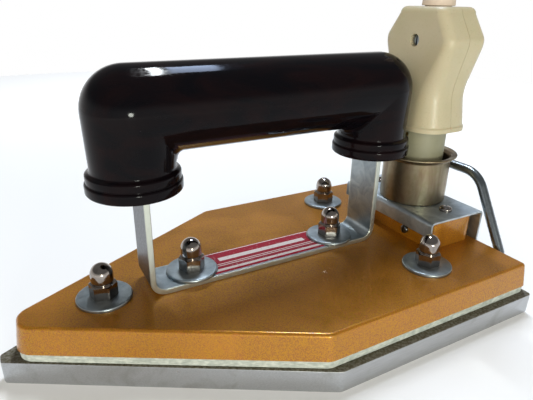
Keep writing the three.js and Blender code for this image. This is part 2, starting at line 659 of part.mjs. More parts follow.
function terminalCap() {
  const middle = capTop - cap.sheet / 2;
  const [front, back] = [capFront + cap.sheet / 2, capBack - cap.sheet / 2];
  const corners = [point(front, 0, frontLipBottom), point(front, 0, middle),
    point(back, 0, middle), point(back, 0, capTop - cap.backLip)];
  const route = rounded(corners, [0, cap.bend, cap.bend, 0], false, counts.bendSteps);
  const sheet = strip(route, cap.sheet, boxWidth + cap.side * 2);
  const [low, high] = [boxTop - fit.overrun, capTop + fit.overrun];
  const holes = [-capScrewY, capScrewY].map((y) => (
    shifted(rod(capScrew.radius + fit.sheet, low, high), inletX, y)));
  return cut(sheet, [...holes, shifted(rod(neckHole, low, high, counts.circleSides), inletX, 0)]);
}

// A ceramic bridge on two feet; its neck comes up through the cap and the shroud's floor.
function inletInsulator() {
  const [x, y] = [insulator.depth / 2, insulatorHalf];
  const foot = (low, high) => block(-x, x, low, high, coverTop, boxTop);
  const neck = rod(neckRadius, bridgeBottom, discBottom, counts.circleSides);
  const pieces = [block(-x, x, -y, y, bridgeBottom, boxTop), foot(-y, insulator.foot - y),
    foot(y - insulator.foot, y), neck];
  const pins = Object.values(leadPlaces).map((place) => (
    shifted(rod(pinHole, bridgeBottom - fit.overrun, discBottom + fit.overrun), 0, place)));
  const threads = [-capScrewY, capScrewY].map((place) => (
    shifted(rod(capScrew.radius + fit.sheet, boxTop - capScrew.length, boxTop + fit.overrun), 0, place)));
  return cut(join(pieces), [...pins, ...threads]);
}

function inletDisc() {
  const pins = Object.values(leadPlaces).map((place) => (
    shifted(rod(pinHole, -fit.overrun, disc.thickness + fit.overrun), 0, place)));
  return cut(rod(shroudRadius - shroud.wall - disc.gap, 0, disc.thickness, counts.circleSides), pins);
}

// The cup round the pins, open at the top, with a rolled-out lip.
function shroudCup() {
  const { wall, height, lip, lipHeight } = shroud;
  const inner = shroudRadius - wall;
  const outer = shroudRadius + lip;
  const swell = lip * shroud.lipShare;
  const flareStart = height - lipHeight;
  const profile = [[neckHole, 0], [inner, 0], [shroudRadius, wall], [shroudRadius, flareStart]];
  profile.push([shroudRadius + swell, height - lipHeight / 2], [outer, height - wall / 2], [outer, height]);
  profile.push([outer - wall, height], [inner + swell, height - lipHeight / 3], [inner, flareStart]);
  profile.push([inner, wall], [neckHole, wall], [neckHole, 0]);
  return turned(profile, counts.circleSides);
}

function contactPin() {
  const { radius, height, collarRadius, collarHeight, tailRadius } = pin;
  const tail = discTop - pinNutSeat + pin.past;
  const shoulder = collarHeight + height - radius;
  const profile = [[0, -tail], [tailRadius, -tail], [tailRadius, 0], [collarRadius, 0],
    [collarRadius, collarHeight], [radius, collarHeight], [radius, shoulder]];
  profile.push([radius * Math.SQRT1_2, shoulder + radius * Math.SQRT1_2], [0, shoulder + radius]);
  return turned(profile);
}

const leadTop = bridgeBottom - lead.thickness / 2;

// A flat lead: forward from its pin, down through the window and onto the element's pad.
function elementLead() {
  const low = elementTop + lead.thickness / 2;
  const corners = [point(lead.past, 0, leadTop), point(-lead.forward, 0, leadTop),
    point(-lead.forward, 0, low), point(-lead.forward - lead.foot, 0, low)];
  const route = rounded(corners, [0, lead.bend, lead.bend, 0], false, counts.bendSteps);
  const band = strip(route, lead.thickness, lead.width);
  return cut(band, [rod(pinHole, leadTop - fit.overrun, leadTop + fit.overrun)]);
}

function plainNut(flats, thickness, bore) {
  return cut(hexagon(flats, 0, thickness), [rod(bore, -fit.overrun, thickness + fit.overrun)]);
}

// The rod of the heel rest: in from one side, over the arch and back in at the other.
function heelRest() {
  const restTop = coverTop + rest.height;
  const corners = [point(restEnd, -restY, restFoot), point(restX, -restY, restFoot),
    point(restX, -restTopY, restTop), point(restX, restTopY, restTop),
    point(restX, restY, restFoot), point(restEnd, restY, restFoot)];
  const { top, foot } = restBend;
  const path = rounded(corners, [0, foot, top, top, foot, 0], false, counts.bendSteps);
  const route = new THREE.CatmullRomCurve3(path);
  const section = new THREE.Shape().absarc(0, 0, rest.radius, 0, Math.PI * 2, false);
  const options = { steps: counts.rodSteps, extrudePath: route, curveSegments: counts.rodSides / 2 };
  return new THREE.ExtrudeGeometry(section, options);
}

add('terminal_box', terminalBox(), finishes.paint);
add('terminal_cap', terminalCap(), finishes.zinc);
add('inlet_insulator', inletInsulator(), finishes.ceramic, point(inletX, 0));
add('inlet_disc', inletDisc(), finishes.ceramic, point(inletX, 0, discBottom));
add('shroud', shroudCup(), finishes.nickel, point(inletX, 0, capTop));
Object.entries({ near: -capScrewY, far: capScrewY }).forEach(([suffix, y]) => {
  add(`cap_screw_${suffix}`, panScrew(capScrew), finishes.chrome, point(inletX, y, capTop));
});
Object.entries(leadPlaces).forEach(([suffix, y]) => {
  add(`pin_${suffix}`, contactPin(), finishes.brass, point(inletX, y, discTop));
  const nutBody = plainNut(pinNut.flats, pinNut.thickness, pinHole);
  add(`pin_nut_${suffix}`, nutBody, finishes.brass, point(inletX, y, pinNutSeat));
  add(`lead_${suffix}`, elementLead(), finishes.nickel, point(inletX, y));
});
const earthSeat = point(boxFront, earthScrew.y, earthHeight);
const earthScrewBody = panScrew(earthScrew);
add('earth_screw', earthScrewBody.rotateY(-Math.PI / 2), finishes.steel, earthSeat);
const earthNutBody = plainNut(earthNut.flats, earthNut.thickness, earthScrew.radius + fit.sheet);
add('earth_nut', earthNutBody.rotateY(Math.PI / 2), finishes.steel,
  point(boxFront + box.wall, earthScrew.y, earthHeight));
add('heel_rest', heelRest(), finishes.steel);

// The connector stands in the shroud and lifts straight off, so it has a group of its own.
const connector = new THREE.Group();
connector.position.set(inletX, 0, 0);
iron.add(connector);

// Connector levels: the sleeve stands on the pins' collars, the shells well above the shroud.
const pinTop = discTop + pin.collarHeight + pin.height;
const sleeveBottom = discTop + pin.collarHeight + fit.sheet;
const shellBottom = capTop + shroud.height + shell.clear;
const crownDepth = (bush.flange + bush.flangeGap + shell.wall) * 2;

// Rings of the moulding, from the rim to the crown, each drawn in by an inset.
function shellRings(inset) {
  const level = (size, height, grow = 0) => roundedRectangle(size.depth + (grow - inset) * 2,
    size.width + (grow - inset) * 2, Math.max(size.round + grow - inset, fit.chamfer), shellBottom + height);
  const foot = { ...rim, depth: rimDepth };
  const top = { ...crown, depth: crownDepth };
  return [
    level(foot, 0), level(foot, rim.height), level(foot, rim.height + rim.step, -rim.step),
    level({ ...skirt, depth: skirtDepth }, skirt.height), level(waist, waist.low), level(waist, waist.high),
    level(brow, brow.low), level(brow, brow.high), level(top, crown.height),
    level(top, crown.top - crown.edge / 3, -crown.edge / 3), level(top, crown.top, -crown.edge),
  ];
}

const collarLow = shellBottom + sleeve.grooveLow;
const collarHigh = shellBottom + sleeve.grooveHigh;
const sleeveTop = shellBottom + sleeve.top;
const shellTop = shellBottom + crown.top;
const bushNeck = shellTop - shell.wall - fit.sheet;
const screwHeight = shellBottom + (brow.low + brow.high) / 2;
const browHalf = brow.depth / 2;
const nutSeat = browHalf - shellNut.wall - shellNut.thickness;
const springTop = shellBottom - spring.below;
const springLow = sleeveBottom + spring.above;
const keywayFloor = sleeveRadius - keyway.depth;

// The hollow inside the moulding, with the seats of the sleeve and of the cord bush.
function shellHollow() {
  const opening = sleeveRadius + fit.sheet;
  const neck = opening - sleeve.groove;
  const seat = turned([[0, shellBottom - fit.overrun], [opening, shellBottom - fit.overrun],
    [opening, collarLow], [neck, collarLow], [neck, collarHigh], [opening, collarHigh],
    [opening, sleeveTop + fit.sheet], [0, sleeveTop + fit.sheet]], counts.circleSides);
  const bushHole = rod(bush.neck + fit.sheet, bushNeck - shell.wall, shellTop + fit.overrun);
  const inside = shellRings(shell.wall).filter((ringPoints) => (
    ringPoints[0].z > sleeveTop - fit.sheet && ringPoints[0].z < bushNeck));
  const lid = inside[inside.length - 1].map((corner) => point(corner.x, corner.y, bushNeck));
  const floor = shellRings(shell.wall)[3].map((corner) => point(corner.x, corner.y, sleeveTop));
  return [seat, bushHole, loft([floor, ...inside, lid])];
}

// Half of the moulding on one side of its seam, with its share of the screw's boss.
function shellHalf(side) {
  const reach = brow.width;
  const [from, to] = side < 0 ? [-reach, -shell.seam] : [shell.seam, reach];
  const half = block(from, to, -reach, reach, shellBottom - fit.overrun, shellTop + fit.overrun);
  const outer = loft(shellRings(0));
  const along = (geometry) => geometry.rotateY(Math.PI / 2).translate(0, 0, screwHeight);
  const bossRod = along(rod(shellScrew.boss, Math.max(from, -browHalf), Math.min(to, browHalf)));
  const boss = common(bossRod, outer);
  const nutTop = nutSeat + shellNut.thickness;
  const tools = [along(rod(shellScrew.radius + fit.sheet, -reach, nutTop))];
  if (side < 0) {
    tools.push(along(rod(shellScrew.headRadius + fit.sheet, -reach, shellScrew.headDepth - browHalf)));
  } else {
    tools.push(along(hexagon(shellNut.flats + fit.sheet * 2, nutSeat - fit.sheet, nutTop + fit.sheet)));
  }
  const hollow = shellHollow();
  const skin = common(cut(outer, hollow), half);
  return cut(join([skin, boss]), tools);
}

// The ceramic sleeve: two bores, a collar groove and a keyway for each earth spring.
function connectorSleeve() {
  const radius = sleeveRadius;
  const neck = radius - sleeve.groove;
  const body = turned([[0, sleeveBottom], [radius - fit.chamfer, sleeveBottom],
    [radius, sleeveBottom + fit.chamfer], [radius, collarLow - fit.sheet],
    [neck, collarLow - fit.sheet], [neck, collarHigh + fit.sheet],
    [radius, collarHigh + fit.sheet], [radius, sleeveTop], [0, sleeveTop]], counts.circleSides);
  const low = sleeveBottom - fit.overrun;
  const bores = Object.values(leadPlaces).map((y) => (
    shifted(rod(contact.radius + fit.sheet, low, sleeveTop + fit.overrun), 0, y)));
  const slots = [-1, 1].flatMap((side) => {
    const past = side * (radius + fit.overrun);
    const [lowX, highX] = [side * keywayFloor, past].sort((a, b) => a - b);
    const hookEnd = side * (keywayFloor - spring.hook - fit.sheet);
    const [hookLow, hookHigh] = [hookEnd, past].sort((a, b) => a - b);
    const gap = spring.thickness / 2 + fit.sheet;
    const half = spring.width / 2 + fit.sheet;
    return [block(lowX, highX, -keyway.width / 2, keyway.width / 2, low, springTop + gap),
      block(hookLow, hookHigh, -half, half, springTop - gap, springTop + gap)];
  });
  return cut(body, [...bores, ...slots]);
}

function contactTube() {
  const { radius, bore } = contact;
  const bottom = sleeveBottom + contact.recess;
  const boreTop = pinTop + contact.beyond;
  const top = sleeveTop + contact.stub;
  return turned([[bore, bottom], [radius, bottom], [radius, top], [0, top], [0, boreTop],
    [bore, boreTop], [bore, bottom]]);
}

// A bowed strip in the keyway, hooked into the sleeve at its top. Its bow reaches out towards the shroud, but
// not so far that it would catch the handle's collar when the connector is pulled off.
function earthSpring() {
  const half = spring.thickness / 2;
  const seat = keywayFloor + half + fit.sheet;
  const out = springReach - half;
  const { knee, bowBottom, bowTop, shoulder } = springHeights;
  const corners = [point(seat - spring.hook, 0, springTop), point(seat, 0, springTop),
    point(seat, 0, springLow + shoulder), point(out, 0, springLow + bowTop),
    point(out, 0, springLow + bowBottom), point(seat, 0, springLow + knee), point(seat, 0, springLow)];
  const bends = [0, spring.bend / 2, spring.bend, spring.bend, spring.bend, spring.bend, 0];
  return strip(rounded(corners, bends, false, counts.bendSteps), spring.thickness, spring.width);
}

// The bush that guards the cord's way out: a flange inside the shells and a short tapered barrel.
function cordBush() {
  const { radius, tipRadius, height, neck, flange, flangeHeight, bore } = bush;
  const flangeTop = bushNeck - fit.sheet;
  const top = shellTop + fit.sheet;
  return turned([[bore, flangeTop - flangeHeight], [flange, flangeTop - flangeHeight], [flange, flangeTop],
    [neck, flangeTop], [neck, top], [radius, top], [tipRadius, top + height], [bore, top + height],
    [bore, flangeTop - flangeHeight]], counts.circleSides);
}

add('connector_shell_front', shellHalf(-1), finishes.cream, point(0, 0), 0, connector);
add('connector_shell_rear', shellHalf(1), finishes.cream, point(0, 0), 0, connector);
add('connector_sleeve', connectorSleeve(), finishes.ceramic, point(0, 0), 0, connector);
Object.entries(leadPlaces).forEach(([suffix, y]) => (
  add(`contact_tube_${suffix}`, contactTube(), finishes.brass, point(0, y), 0, connector)));
add('earth_spring_front', earthSpring(), finishes.brass, point(0, 0), Math.PI, connector);
add('earth_spring_rear', earthSpring(), finishes.brass, point(0, 0), 0, connector);
const screwSeat = -browHalf + shellScrew.headDepth;
const shellScrewLength = nutSeat + shellNut.thickness - screwSeat - fit.sheet;
const shellScrewBody = panScrew({ ...shellScrew, length: shellScrewLength });
add('connector_screw', shellScrewBody.rotateY(-Math.PI / 2), finishes.steel,
  point(screwSeat, 0, screwHeight), 0, connector);
const shellNutBody = plainNut(shellNut.flats, shellNut.thickness, shellScrew.radius + fit.sheet);
add('connector_nut', shellNutBody.rotateY(Math.PI / 2), finishes.steel,
  point(nutSeat, 0, screwHeight), 0, connector);
add('cord_bush', cordBush(), finishes.rubber, point(0, 0), 0, connector);

export default iron;
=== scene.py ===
import json
import math
from functools import partial

import bmesh
import bpy
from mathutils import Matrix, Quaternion, Vector


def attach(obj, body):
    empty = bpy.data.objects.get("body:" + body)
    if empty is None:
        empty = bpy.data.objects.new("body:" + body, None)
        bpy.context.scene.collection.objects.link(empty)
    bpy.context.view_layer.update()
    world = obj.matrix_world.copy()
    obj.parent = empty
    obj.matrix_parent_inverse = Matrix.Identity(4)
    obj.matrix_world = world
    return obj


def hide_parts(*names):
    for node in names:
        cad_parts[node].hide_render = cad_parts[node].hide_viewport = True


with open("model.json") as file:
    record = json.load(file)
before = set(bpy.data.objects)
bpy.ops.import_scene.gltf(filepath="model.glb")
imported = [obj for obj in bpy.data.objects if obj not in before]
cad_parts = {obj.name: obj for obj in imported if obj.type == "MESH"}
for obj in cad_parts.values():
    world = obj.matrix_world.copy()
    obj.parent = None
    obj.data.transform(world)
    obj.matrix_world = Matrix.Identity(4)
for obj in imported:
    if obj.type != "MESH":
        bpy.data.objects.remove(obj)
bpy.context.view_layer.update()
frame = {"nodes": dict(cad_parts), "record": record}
print("frame loaded")

mm = 0.001  # the object's sizes are in millimetres, X toe to heel, Y across, Z up from the working face
ironBody = "iron"
plugBody = "connector"

photoCamera = {
    "place": (-101.06, -182.12, 144.57),
    "angles": (67.21, -0.90, -28.69),  # degrees about X, Y and Z
    "lens": 32.17,
    "clipStart": 10,
}

bpy.ops.object.camera_add(
    location=[value * mm for value in photoCamera["place"]],
    rotation=[math.radians(value) for value in photoCamera["angles"]],
)
bpy.context.scene.camera = bpy.context.object
bpy.context.object.data.lens = photoCamera["lens"]
bpy.context.object.data.clip_start = photoCamera["clipStart"] * mm
print("camera placed")


# Small tools for the materials

def linear(hexColour):
    channels = [int(hexColour[at:at + 2], 16) / 255 for at in (1, 3, 5)]
    return tuple(c / 12.92 if c <= 0.04045 else ((c + 0.055) / 1.055) ** 2.4 for c in channels) + (1,)


# Adds a node with its settings, values and links, and gives back the output that is named, or all of them.
# A Mix node mixes colours here, and a value given as text is a colour
def addNode(owner, kind, output, inputs=None, **settings):
    node = owner.node_tree.nodes.new("ShaderNode" + kind)
    if kind == "Mix":
        node.data_type = "RGBA"
    for key, value in settings.items():
        setattr(node, key, value)
    for socket, value in (inputs or {}).items():
        if isinstance(value, bpy.types.NodeSocket):
            owner.node_tree.links.new(value, node.inputs[socket])
        else:
            node.inputs[socket].default_value = linear(value) if isinstance(value, str) else value
    return node.outputs[output] if output else node.outputs


def newFinish(name, look):
    material = bpy.data.materials.new(name)
    material.use_nodes = True
    for socket, value in look.items():
        material.node_tree.nodes["Principled BSDF"].inputs[socket].default_value = value
    add = partial(addNode, material)
    return material, add, add("TexCoord", "Object")


def feed(material, links):
    shader = material.node_tree.nodes["Principled BSDF"]
    for socket, value in links.items():
        material.node_tree.links.new(value, shader.inputs[socket])
    return material


# Gold hammer paint: aluminium flake in an amber lacquer, sprayed thick, so it is mottled and glossy on top
def makeHammerPaint():
    paint = {"dark": "#82490a", "body": "#a8680b", "flake": "#bb882c",
             "cell": 0.6 * mm, "flakeSize": 0.35 * mm, "cloud": 28 * mm, "skin": 3.2 * mm}
    material, add, where = newFinish("goldHammerPaint", {
        "Metallic": 0.5, "Roughness": 0.34, "Coat Weight": 0.25, "Coat Roughness": 0.08, "Coat IOR": 1.5})
    cells = add("TexNoise", "Fac", {
        "Vector": where, "Scale": 1 / paint["cell"], "Detail": 2.5, "Roughness": 0.6})
    flakes = add("TexVoronoi", "Color", {"Vector": where, "Scale": 1 / paint["flakeSize"]})
    clouds = add("TexNoise", "Fac", {
        "Vector": where, "Scale": 1 / paint["cloud"], "Detail": 3, "Distortion": 0.4})
    skin = add("TexNoise", "Fac", {"Vector": where, "Scale": 1 / paint["skin"], "Detail": 1})
    grain = add("MapRange", "Result", {"Value": cells, "From Min": 0.25, "From Max": 0.7})
    spark = add("MapRange", "Result", {"Value": flakes, "From Min": 0.38, "From Max": 0.66, "To Max": 0.9})
    worn = add("MapRange", "Result", {
        "Value": clouds, "From Min": 0.3, "From Max": 0.75, "To Min": 0.82, "To Max": 1.12})
    gloss = add("MapRange", "Result", {
        "Value": clouds, "From Min": 0.3, "From Max": 0.7, "To Min": 0.27, "To Max": 0.4})
    ground = add("Mix", "Result", {"Factor": grain, "A": paint["dark"], "B": paint["body"]})
    toned = add("HueSaturation", "Color", {"Color": ground, "Value": worn})
    colour = add("Mix", "Result", {"Factor": spark, "A": toned, "B": paint["flake"]})
    peel = add("Bump", "Normal", {"Height": cells, "Strength": 0.12, "Distance": 0.1 * mm})
    flow = add("Bump", "Normal", {"Height": skin, "Strength": 0.16, "Distance": 0.25 * mm})
    return feed(material, {"Base Color": colour, "Metallic": spark, "Roughness": gloss, "Normal": peel,
                           "Coat Normal": flow})


# Bright zinc plate with a blue passivate: a soft bluish metal, clouded where hands and heat have been
def makeZinc(name, bareFrom=None, dull="#889296", bright="#b0b9bc", smooth=0.3, rubbed=0.45):
    # The dark grey and its range paint the outside of a strip's legs darker, a painted dark reflection; the
    # pale colour paints its edges lighter, a painted highlight
    zinc = {"bare": "#cdd0c3", "stain": "#605e61", "legShadeFrom": 59.5, "legShadeOver": 0.5, "bareOver": 0.15,
            "cloud": 9 * mm, "rub": 1.4 * mm}
    material, add, where = newFinish(name, {"Metallic": 1, "Roughness": smooth})
    clouds = add("TexNoise", "Fac", {
        "Vector": where, "Scale": 1 / zinc["cloud"], "Detail": 5, "Roughness": 0.6, "Distortion": 0.6})
    rubs = add("TexNoise", "Fac", {
        "Vector": where, "Scale": 1 / zinc["rub"], "Detail": 3, "Roughness": 0.7})
    mixed = add("MapRange", "Result", {"Value": clouds, "From Min": 0.34, "From Max": 0.66})
    colour = add("Mix", "Result", {"Factor": mixed, "A": dull, "B": bright})
    rough = add("MapRange", "Result", {
        "Value": rubs, "From Min": 0.3, "From Max": 0.7, "To Min": smooth, "To Max": rubbed})
    bump = add("Bump", "Normal", {"Height": rubs, "Strength": 0.05, "Distance": 0.05 * mm})
    if bareFrom:  # a strip's edges are painted brighter than its faces, a painted highlight, and the outside of its legs is painted darker, a painted dark reflection
        apart = add("SeparateXYZ", None, {"Vector": where})
        for axis, start, end, shade in (
                ("X", zinc["legShadeFrom"], zinc["legShadeFrom"] + zinc["legShadeOver"], zinc["stain"]),
                ("Y", bareFrom - zinc["bareOver"], bareFrom + zinc["bareOver"], zinc["bare"])):
            out = add("Math", "Value", {0: apart[axis]}, operation="ABSOLUTE")
            there = add("MapRange", "Result", {
                "Value": out, "From Min": start * mm, "From Max": end * mm, "To Max": 0.9})
            colour = add("Mix", "Result", {"Factor": there, "A": colour, "B": shade})
    return feed(material, {"Base Color": colour, "Roughness": rough, "Normal": bump})


# Polished nickel plate on brass: a warm mirror with a few smears
def makeBrightNickel():
    nickel = {"smear": "#857a74", "clean": "#b3aca4", "smearSize": 4 * mm}
    material, add, where = newFinish("brightNickelPlate", {"Metallic": 1, "Roughness": 0.1})
    smears = add("TexNoise", "Fac", {
        "Vector": where, "Scale": 1 / nickel["smearSize"], "Detail": 4, "Distortion": 0.8})
    colour = add("Mix", "Result", {"Factor": smears, "A": nickel["smear"], "B": nickel["clean"]})
    rough = add("MapRange", "Result", {
        "Value": smears, "From Min": 0.35, "From Max": 0.7, "To Min": 0.06, "To Max": 0.2})
    return feed(material, {"Base Color": colour, "Roughness": rough})


# Aged nickel plate: the shroud's thin plating is brown in streaks, olive in spots and shows drawing lines;
# its brown and pale upright streaks are partly real stain and partly painted reflection
def makeDullNickel():
    nickel = {"stain": "#76614d", "olive": "#847d5a", "clean": "#9d947b",
              "patch": 9 * mm, "speck": 2.4 * mm, "line": 0.5 * mm}
    material, add, where = newFinish("agedNickelPlate", {"Metallic": 1, "Roughness": 0.22})
    # The upright streaks are partly brown stain and partly painted reflection
    uprightStretch = add("Mapping", "Vector", {"Vector": where, "Scale": (1, 1, 0.3)})
    patches = add("TexNoise", "Fac", {
        "Vector": uprightStretch, "Scale": 1 / nickel["patch"], "Detail": 4, "Distortion": 0.7})
    stretched = add("Mapping", "Vector", {"Vector": where, "Scale": (1, 1, 0.12)})
    lines = add("TexNoise", "Fac", {"Vector": stretched, "Scale": 1 / nickel["line"], "Detail": 2})
    specks = add("TexNoise", "Fac", {"Vector": where, "Scale": 1 / nickel["speck"], "Detail": 3})
    split = add("MapRange", "Result", {"Value": patches, "From Min": 0.36, "From Max": 0.64})
    tint = add("MapRange", "Result", {"Value": specks, "From Min": 0.45, "From Max": 0.75, "To Max": 0.55})
    under = add("Mix", "Result", {"Factor": split, "A": nickel["stain"], "B": nickel["clean"]})
    colour = add("Mix", "Result", {"Factor": tint, "A": under, "B": nickel["olive"]})
    rough = add("MapRange", "Result", {
        "Value": patches, "From Min": 0.35, "From Max": 0.65, "To Min": 0.46, "To Max": 0.36})
    bump = add("Bump", "Normal", {"Height": lines, "Strength": 0.1, "Distance": 0.05 * mm})
    return feed(material, {"Base Color": colour, "Roughness": rough, "Normal": bump})


# Ground and polished iron: long grinding lines from toe to heel and faint stains from the heat. The top of
# the rim, which no wheel reaches, is dull, and its darker colour is partly dirt and partly painted dark
# reflection
def makePolishedIron():
    iron = {"grey": "#a2a3a4", "light": "#c8cacc", "stain": "#827d74", "grimeAndShade": "#918c80", "dirt": "#69624f",
            "line": 0.35 * mm, "patch": 16 * mm, "grain": 1.2 * mm, "grimeAndShadeFrom": 10.65, "grimeAndShadeOver": 0.2}
    material, add, where = newFinish("polishedIron", {"Metallic": 1, "Roughness": 0.3})
    stretched = add("Mapping", "Vector", {"Vector": where, "Scale": (0.04, 1, 1)})
    lines = add("TexNoise", "Fac", {"Vector": stretched, "Scale": 1 / iron["line"], "Detail": 4})
    patches = add("TexNoise", "Fac", {
        "Vector": where, "Scale": 1 / iron["patch"], "Detail": 5, "Distortion": 0.8})
    grains = add("TexNoise", "Fac", {"Vector": where, "Scale": 1 / iron["grain"], "Detail": 4})
    stained = add("MapRange", "Result", {
        "Value": patches, "From Min": 0.55, "From Max": 0.8, "To Max": 0.6})
    ground = add("MapRange", "Result", {
        "Value": patches, "From Min": 0.3, "From Max": 0.7, "To Min": 0.26, "To Max": 0.42})
    mottle = add("MapRange", "Result", {"Value": grains, "From Min": 0.38, "From Max": 0.62})
    # Above this height the rim's top is darker: partly dirt, partly painted dark reflection
    onTop = add("MapRange", "Result", {
        "Value": add("SeparateXYZ", "Z", {"Vector": where}),
        "From Min": iron["grimeAndShadeFrom"] * mm, "From Max": (iron["grimeAndShadeFrom"] + iron["grimeAndShadeOver"]) * mm})
    grey = add("Mix", "Result", {"Factor": lines, "A": iron["grey"], "B": iron["light"]})
    face = add("Mix", "Result", {"Factor": stained, "A": grey, "B": iron["stain"]})
    grimeAndShade = add("Mix", "Result", {"Factor": mottle, "A": iron["dirt"], "B": iron["grimeAndShade"]})
    colour = add("Mix", "Result", {"Factor": onTop, "A": face, "B": grimeAndShade})
    rough = add("MapRange", "Result", {"Value": onTop, "To Min": ground, "To Max": 0.62})
    bump = add("Bump", "Normal", {"Height": lines, "Strength": 0.14, "Distance": 0.05 * mm})
    return feed(material, {"Base Color": colour, "Roughness": rough, "Normal": bump})


# Drawn steel rod, plated: softly clouded, with small specks that are duller
def makeSteel():
    steel = {"dark": "#5e6569", "bright": "#9aa0a4", "speck": 0.6 * mm, "patch": 1.6 * mm}
    material, add, where = newFinish("platedSteel", {"Metallic": 1, "Roughness": 0.26})
    patches = add("TexNoise", "Fac", {
        "Vector": where, "Scale": 1 / steel["patch"], "Detail": 5, "Roughness": 0.65})
    specks = add("TexVoronoi", "Distance", {"Vector": where, "Scale": 1 / steel["speck"]})
    colour = add("Mix", "Result", {"Factor": patches, "A": steel["dark"], "B": steel["bright"]})
    rough = add("MapRange", "Result", {"Value": specks, "From Max": 0.5, "To Min": 0.36, "To Max": 0.28})
    return feed(material, {"Base Color": colour, "Roughness": rough})


# Turned brass, a little tarnished
def makeBrass():
    brass = {"tarnish": "#8a6a32", "clean": "#c79f55", "patch": 3 * mm}
    material, add, where = newFinish("turnedBrass", {"Metallic": 1, "Roughness": 0.28})
    patches = add("TexNoise", "Fac", {"Vector": where, "Scale": 1 / brass["patch"], "Detail": 4})
    colour = add("Mix", "Result", {"Factor": patches, "A": brass["tarnish"], "B": brass["clean"]})
    return feed(material, {"Base Color": colour})


# Black bakelite from a polished mould: deep gloss, a brown cast in the flow marks, hairline rubs
def makeBakelite():
    bakelite = {"black": "#08070a", "brown": "#140a0b", "flow": 14 * mm, "hair": 0.5 * mm}
    material, add, where = newFinish("blackBakelite", {
        "Roughness": 0.08, "IOR": 1.5, "Specular IOR Level": 0.1})
    drawn = add("Mapping", "Vector", {"Vector": where, "Scale": (0.35, 1, 1)})
    flow = add("TexNoise", "Fac", {
        "Vector": drawn, "Scale": 1 / bakelite["flow"], "Detail": 4, "Distortion": 1.5})
    hairs = add("TexNoise", "Fac", {"Vector": drawn, "Scale": 1 / bakelite["hair"], "Detail": 2})
    warm = add("MapRange", "Result", {"Value": flow, "From Min": 0.42, "From Max": 0.72})
    colour = add("Mix", "Result", {"Factor": warm, "A": bakelite["black"], "B": bakelite["brown"]})
    rough = add("MapRange", "Result", {
        "Value": hairs, "From Min": 0.35, "From Max": 0.7, "To Min": 0.05, "To Max": 0.13})
    ripple = add("Bump", "Normal", {"Height": flow, "Strength": 0.1, "Distance": 0.4 * mm})
    return feed(material, {"Base Color": colour, "Roughness": rough, "Normal": ripple})


# Cream urea moulding: slightly waxy, yellowed in clouds, with rubbed, dirty skin in its low places
def makeCream():
    cream = {"clean": "#b7ac91", "yellow": "#a9a07d", "grime": "#857b5f", "cloud": 15 * mm, "speck": 0.9 * mm}
    material, add, where = newFinish("creamMoulding", {
        "Roughness": 0.38, "IOR": 1.5, "Subsurface Weight": 0.08, "Subsurface Scale": 1.5 * mm})
    clouds = add("TexNoise", "Fac", {"Vector": where, "Scale": 1 / cream["cloud"], "Detail": 4})
    specks = add("TexNoise", "Fac", {
        "Vector": where, "Scale": 1 / cream["speck"], "Detail": 3, "Roughness": 0.7})
    base = add("Mix", "Result", {"Factor": clouds, "A": cream["yellow"], "B": cream["clean"]})
    dirt = add("MapRange", "Result", {"Value": specks, "From Min": 0.58, "From Max": 0.85, "To Max": 0.55})
    colour = add("Mix", "Result", {"Factor": dirt, "A": base, "B": cream["grime"]})
    rough = add("MapRange", "Result", {
        "Value": specks, "From Min": 0.3, "From Max": 0.7, "To Min": 0.3, "To Max": 0.5})
    bump = add("Bump", "Normal", {"Height": specks, "Strength": 0.1, "Distance": 0.1 * mm})
    return feed(material, {"Base Color": colour, "Roughness": rough, "Normal": bump})


# Pressed mineral fibre board: soft pale edge with short fibres in layers
def makeFibre():
    fibre = {"pale": "#bcc0b5", "shade": "#949a91", "layer": 0.7 * mm, "tuft": 2.5 * mm}
    material, add, where = newFinish("mineralFibreBoard", {"Roughness": 0.95, "Specular IOR Level": 0.2})
    flat = add("Mapping", "Vector", {"Vector": where, "Scale": (0.25, 0.25, 1)})
    layers = add("TexNoise", "Fac", {"Vector": flat, "Scale": 1 / fibre["layer"], "Detail": 4})
    tufts = add("TexNoise", "Fac", {"Vector": where, "Scale": 1 / fibre["tuft"], "Detail": 5})
    mixed = add("Math", "Value", {0: layers, 1: tufts}, operation="MULTIPLY")
    spread = add("MapRange", "Result", {"Value": mixed, "From Min": 0.14, "From Max": 0.36})
    colour = add("Mix", "Result", {"Factor": spread, "A": fibre["shade"], "B": fibre["pale"]})
    bump = add("Bump", "Normal", {"Height": mixed, "Strength": 0.6, "Distance": 0.4 * mm})
    return feed(material, {"Base Color": colour, "Normal": bump})


# Built-up mica: pale brown, silky, in flakes
def makeMica():
    mica = {"light": "#b9a377", "dark": "#8d7448", "flake": 4 * mm}
    material, add, where = newFinish("builtUpMica", {"Roughness": 0.32, "Coat Weight": 0.3})
    flakes = add("TexVoronoi", "Distance", {"Vector": where, "Scale": 1 / mica["flake"]})
    colour = add("Mix", "Result", {"Factor": flakes, "A": mica["light"], "B": mica["dark"]})
    return feed(material, {"Base Color": colour})


# Unglazed steatite: matt greenish grey, fine pores
def makeCeramic():
    ceramic = {"pale": "#8f8d72", "dark": "#706e57", "pore": 0.6 * mm, "cloud": 10 * mm}
    material, add, where = newFinish("greySteatite", {"Roughness": 0.55, "IOR": 1.55})
    clouds = add("TexNoise", "Fac", {"Vector": where, "Scale": 1 / ceramic["cloud"], "Detail": 5})
    pores = add("TexNoise", "Fac", {"Vector": where, "Scale": 1 / ceramic["pore"], "Detail": 2})
    colour = add("Mix", "Result", {"Factor": clouds, "A": ceramic["dark"], "B": ceramic["pale"]})
    bump = add("Bump", "Normal", {"Height": pores, "Strength": 0.2, "Distance": 0.1 * mm})
    return feed(material, {"Base Color": colour, "Normal": bump})


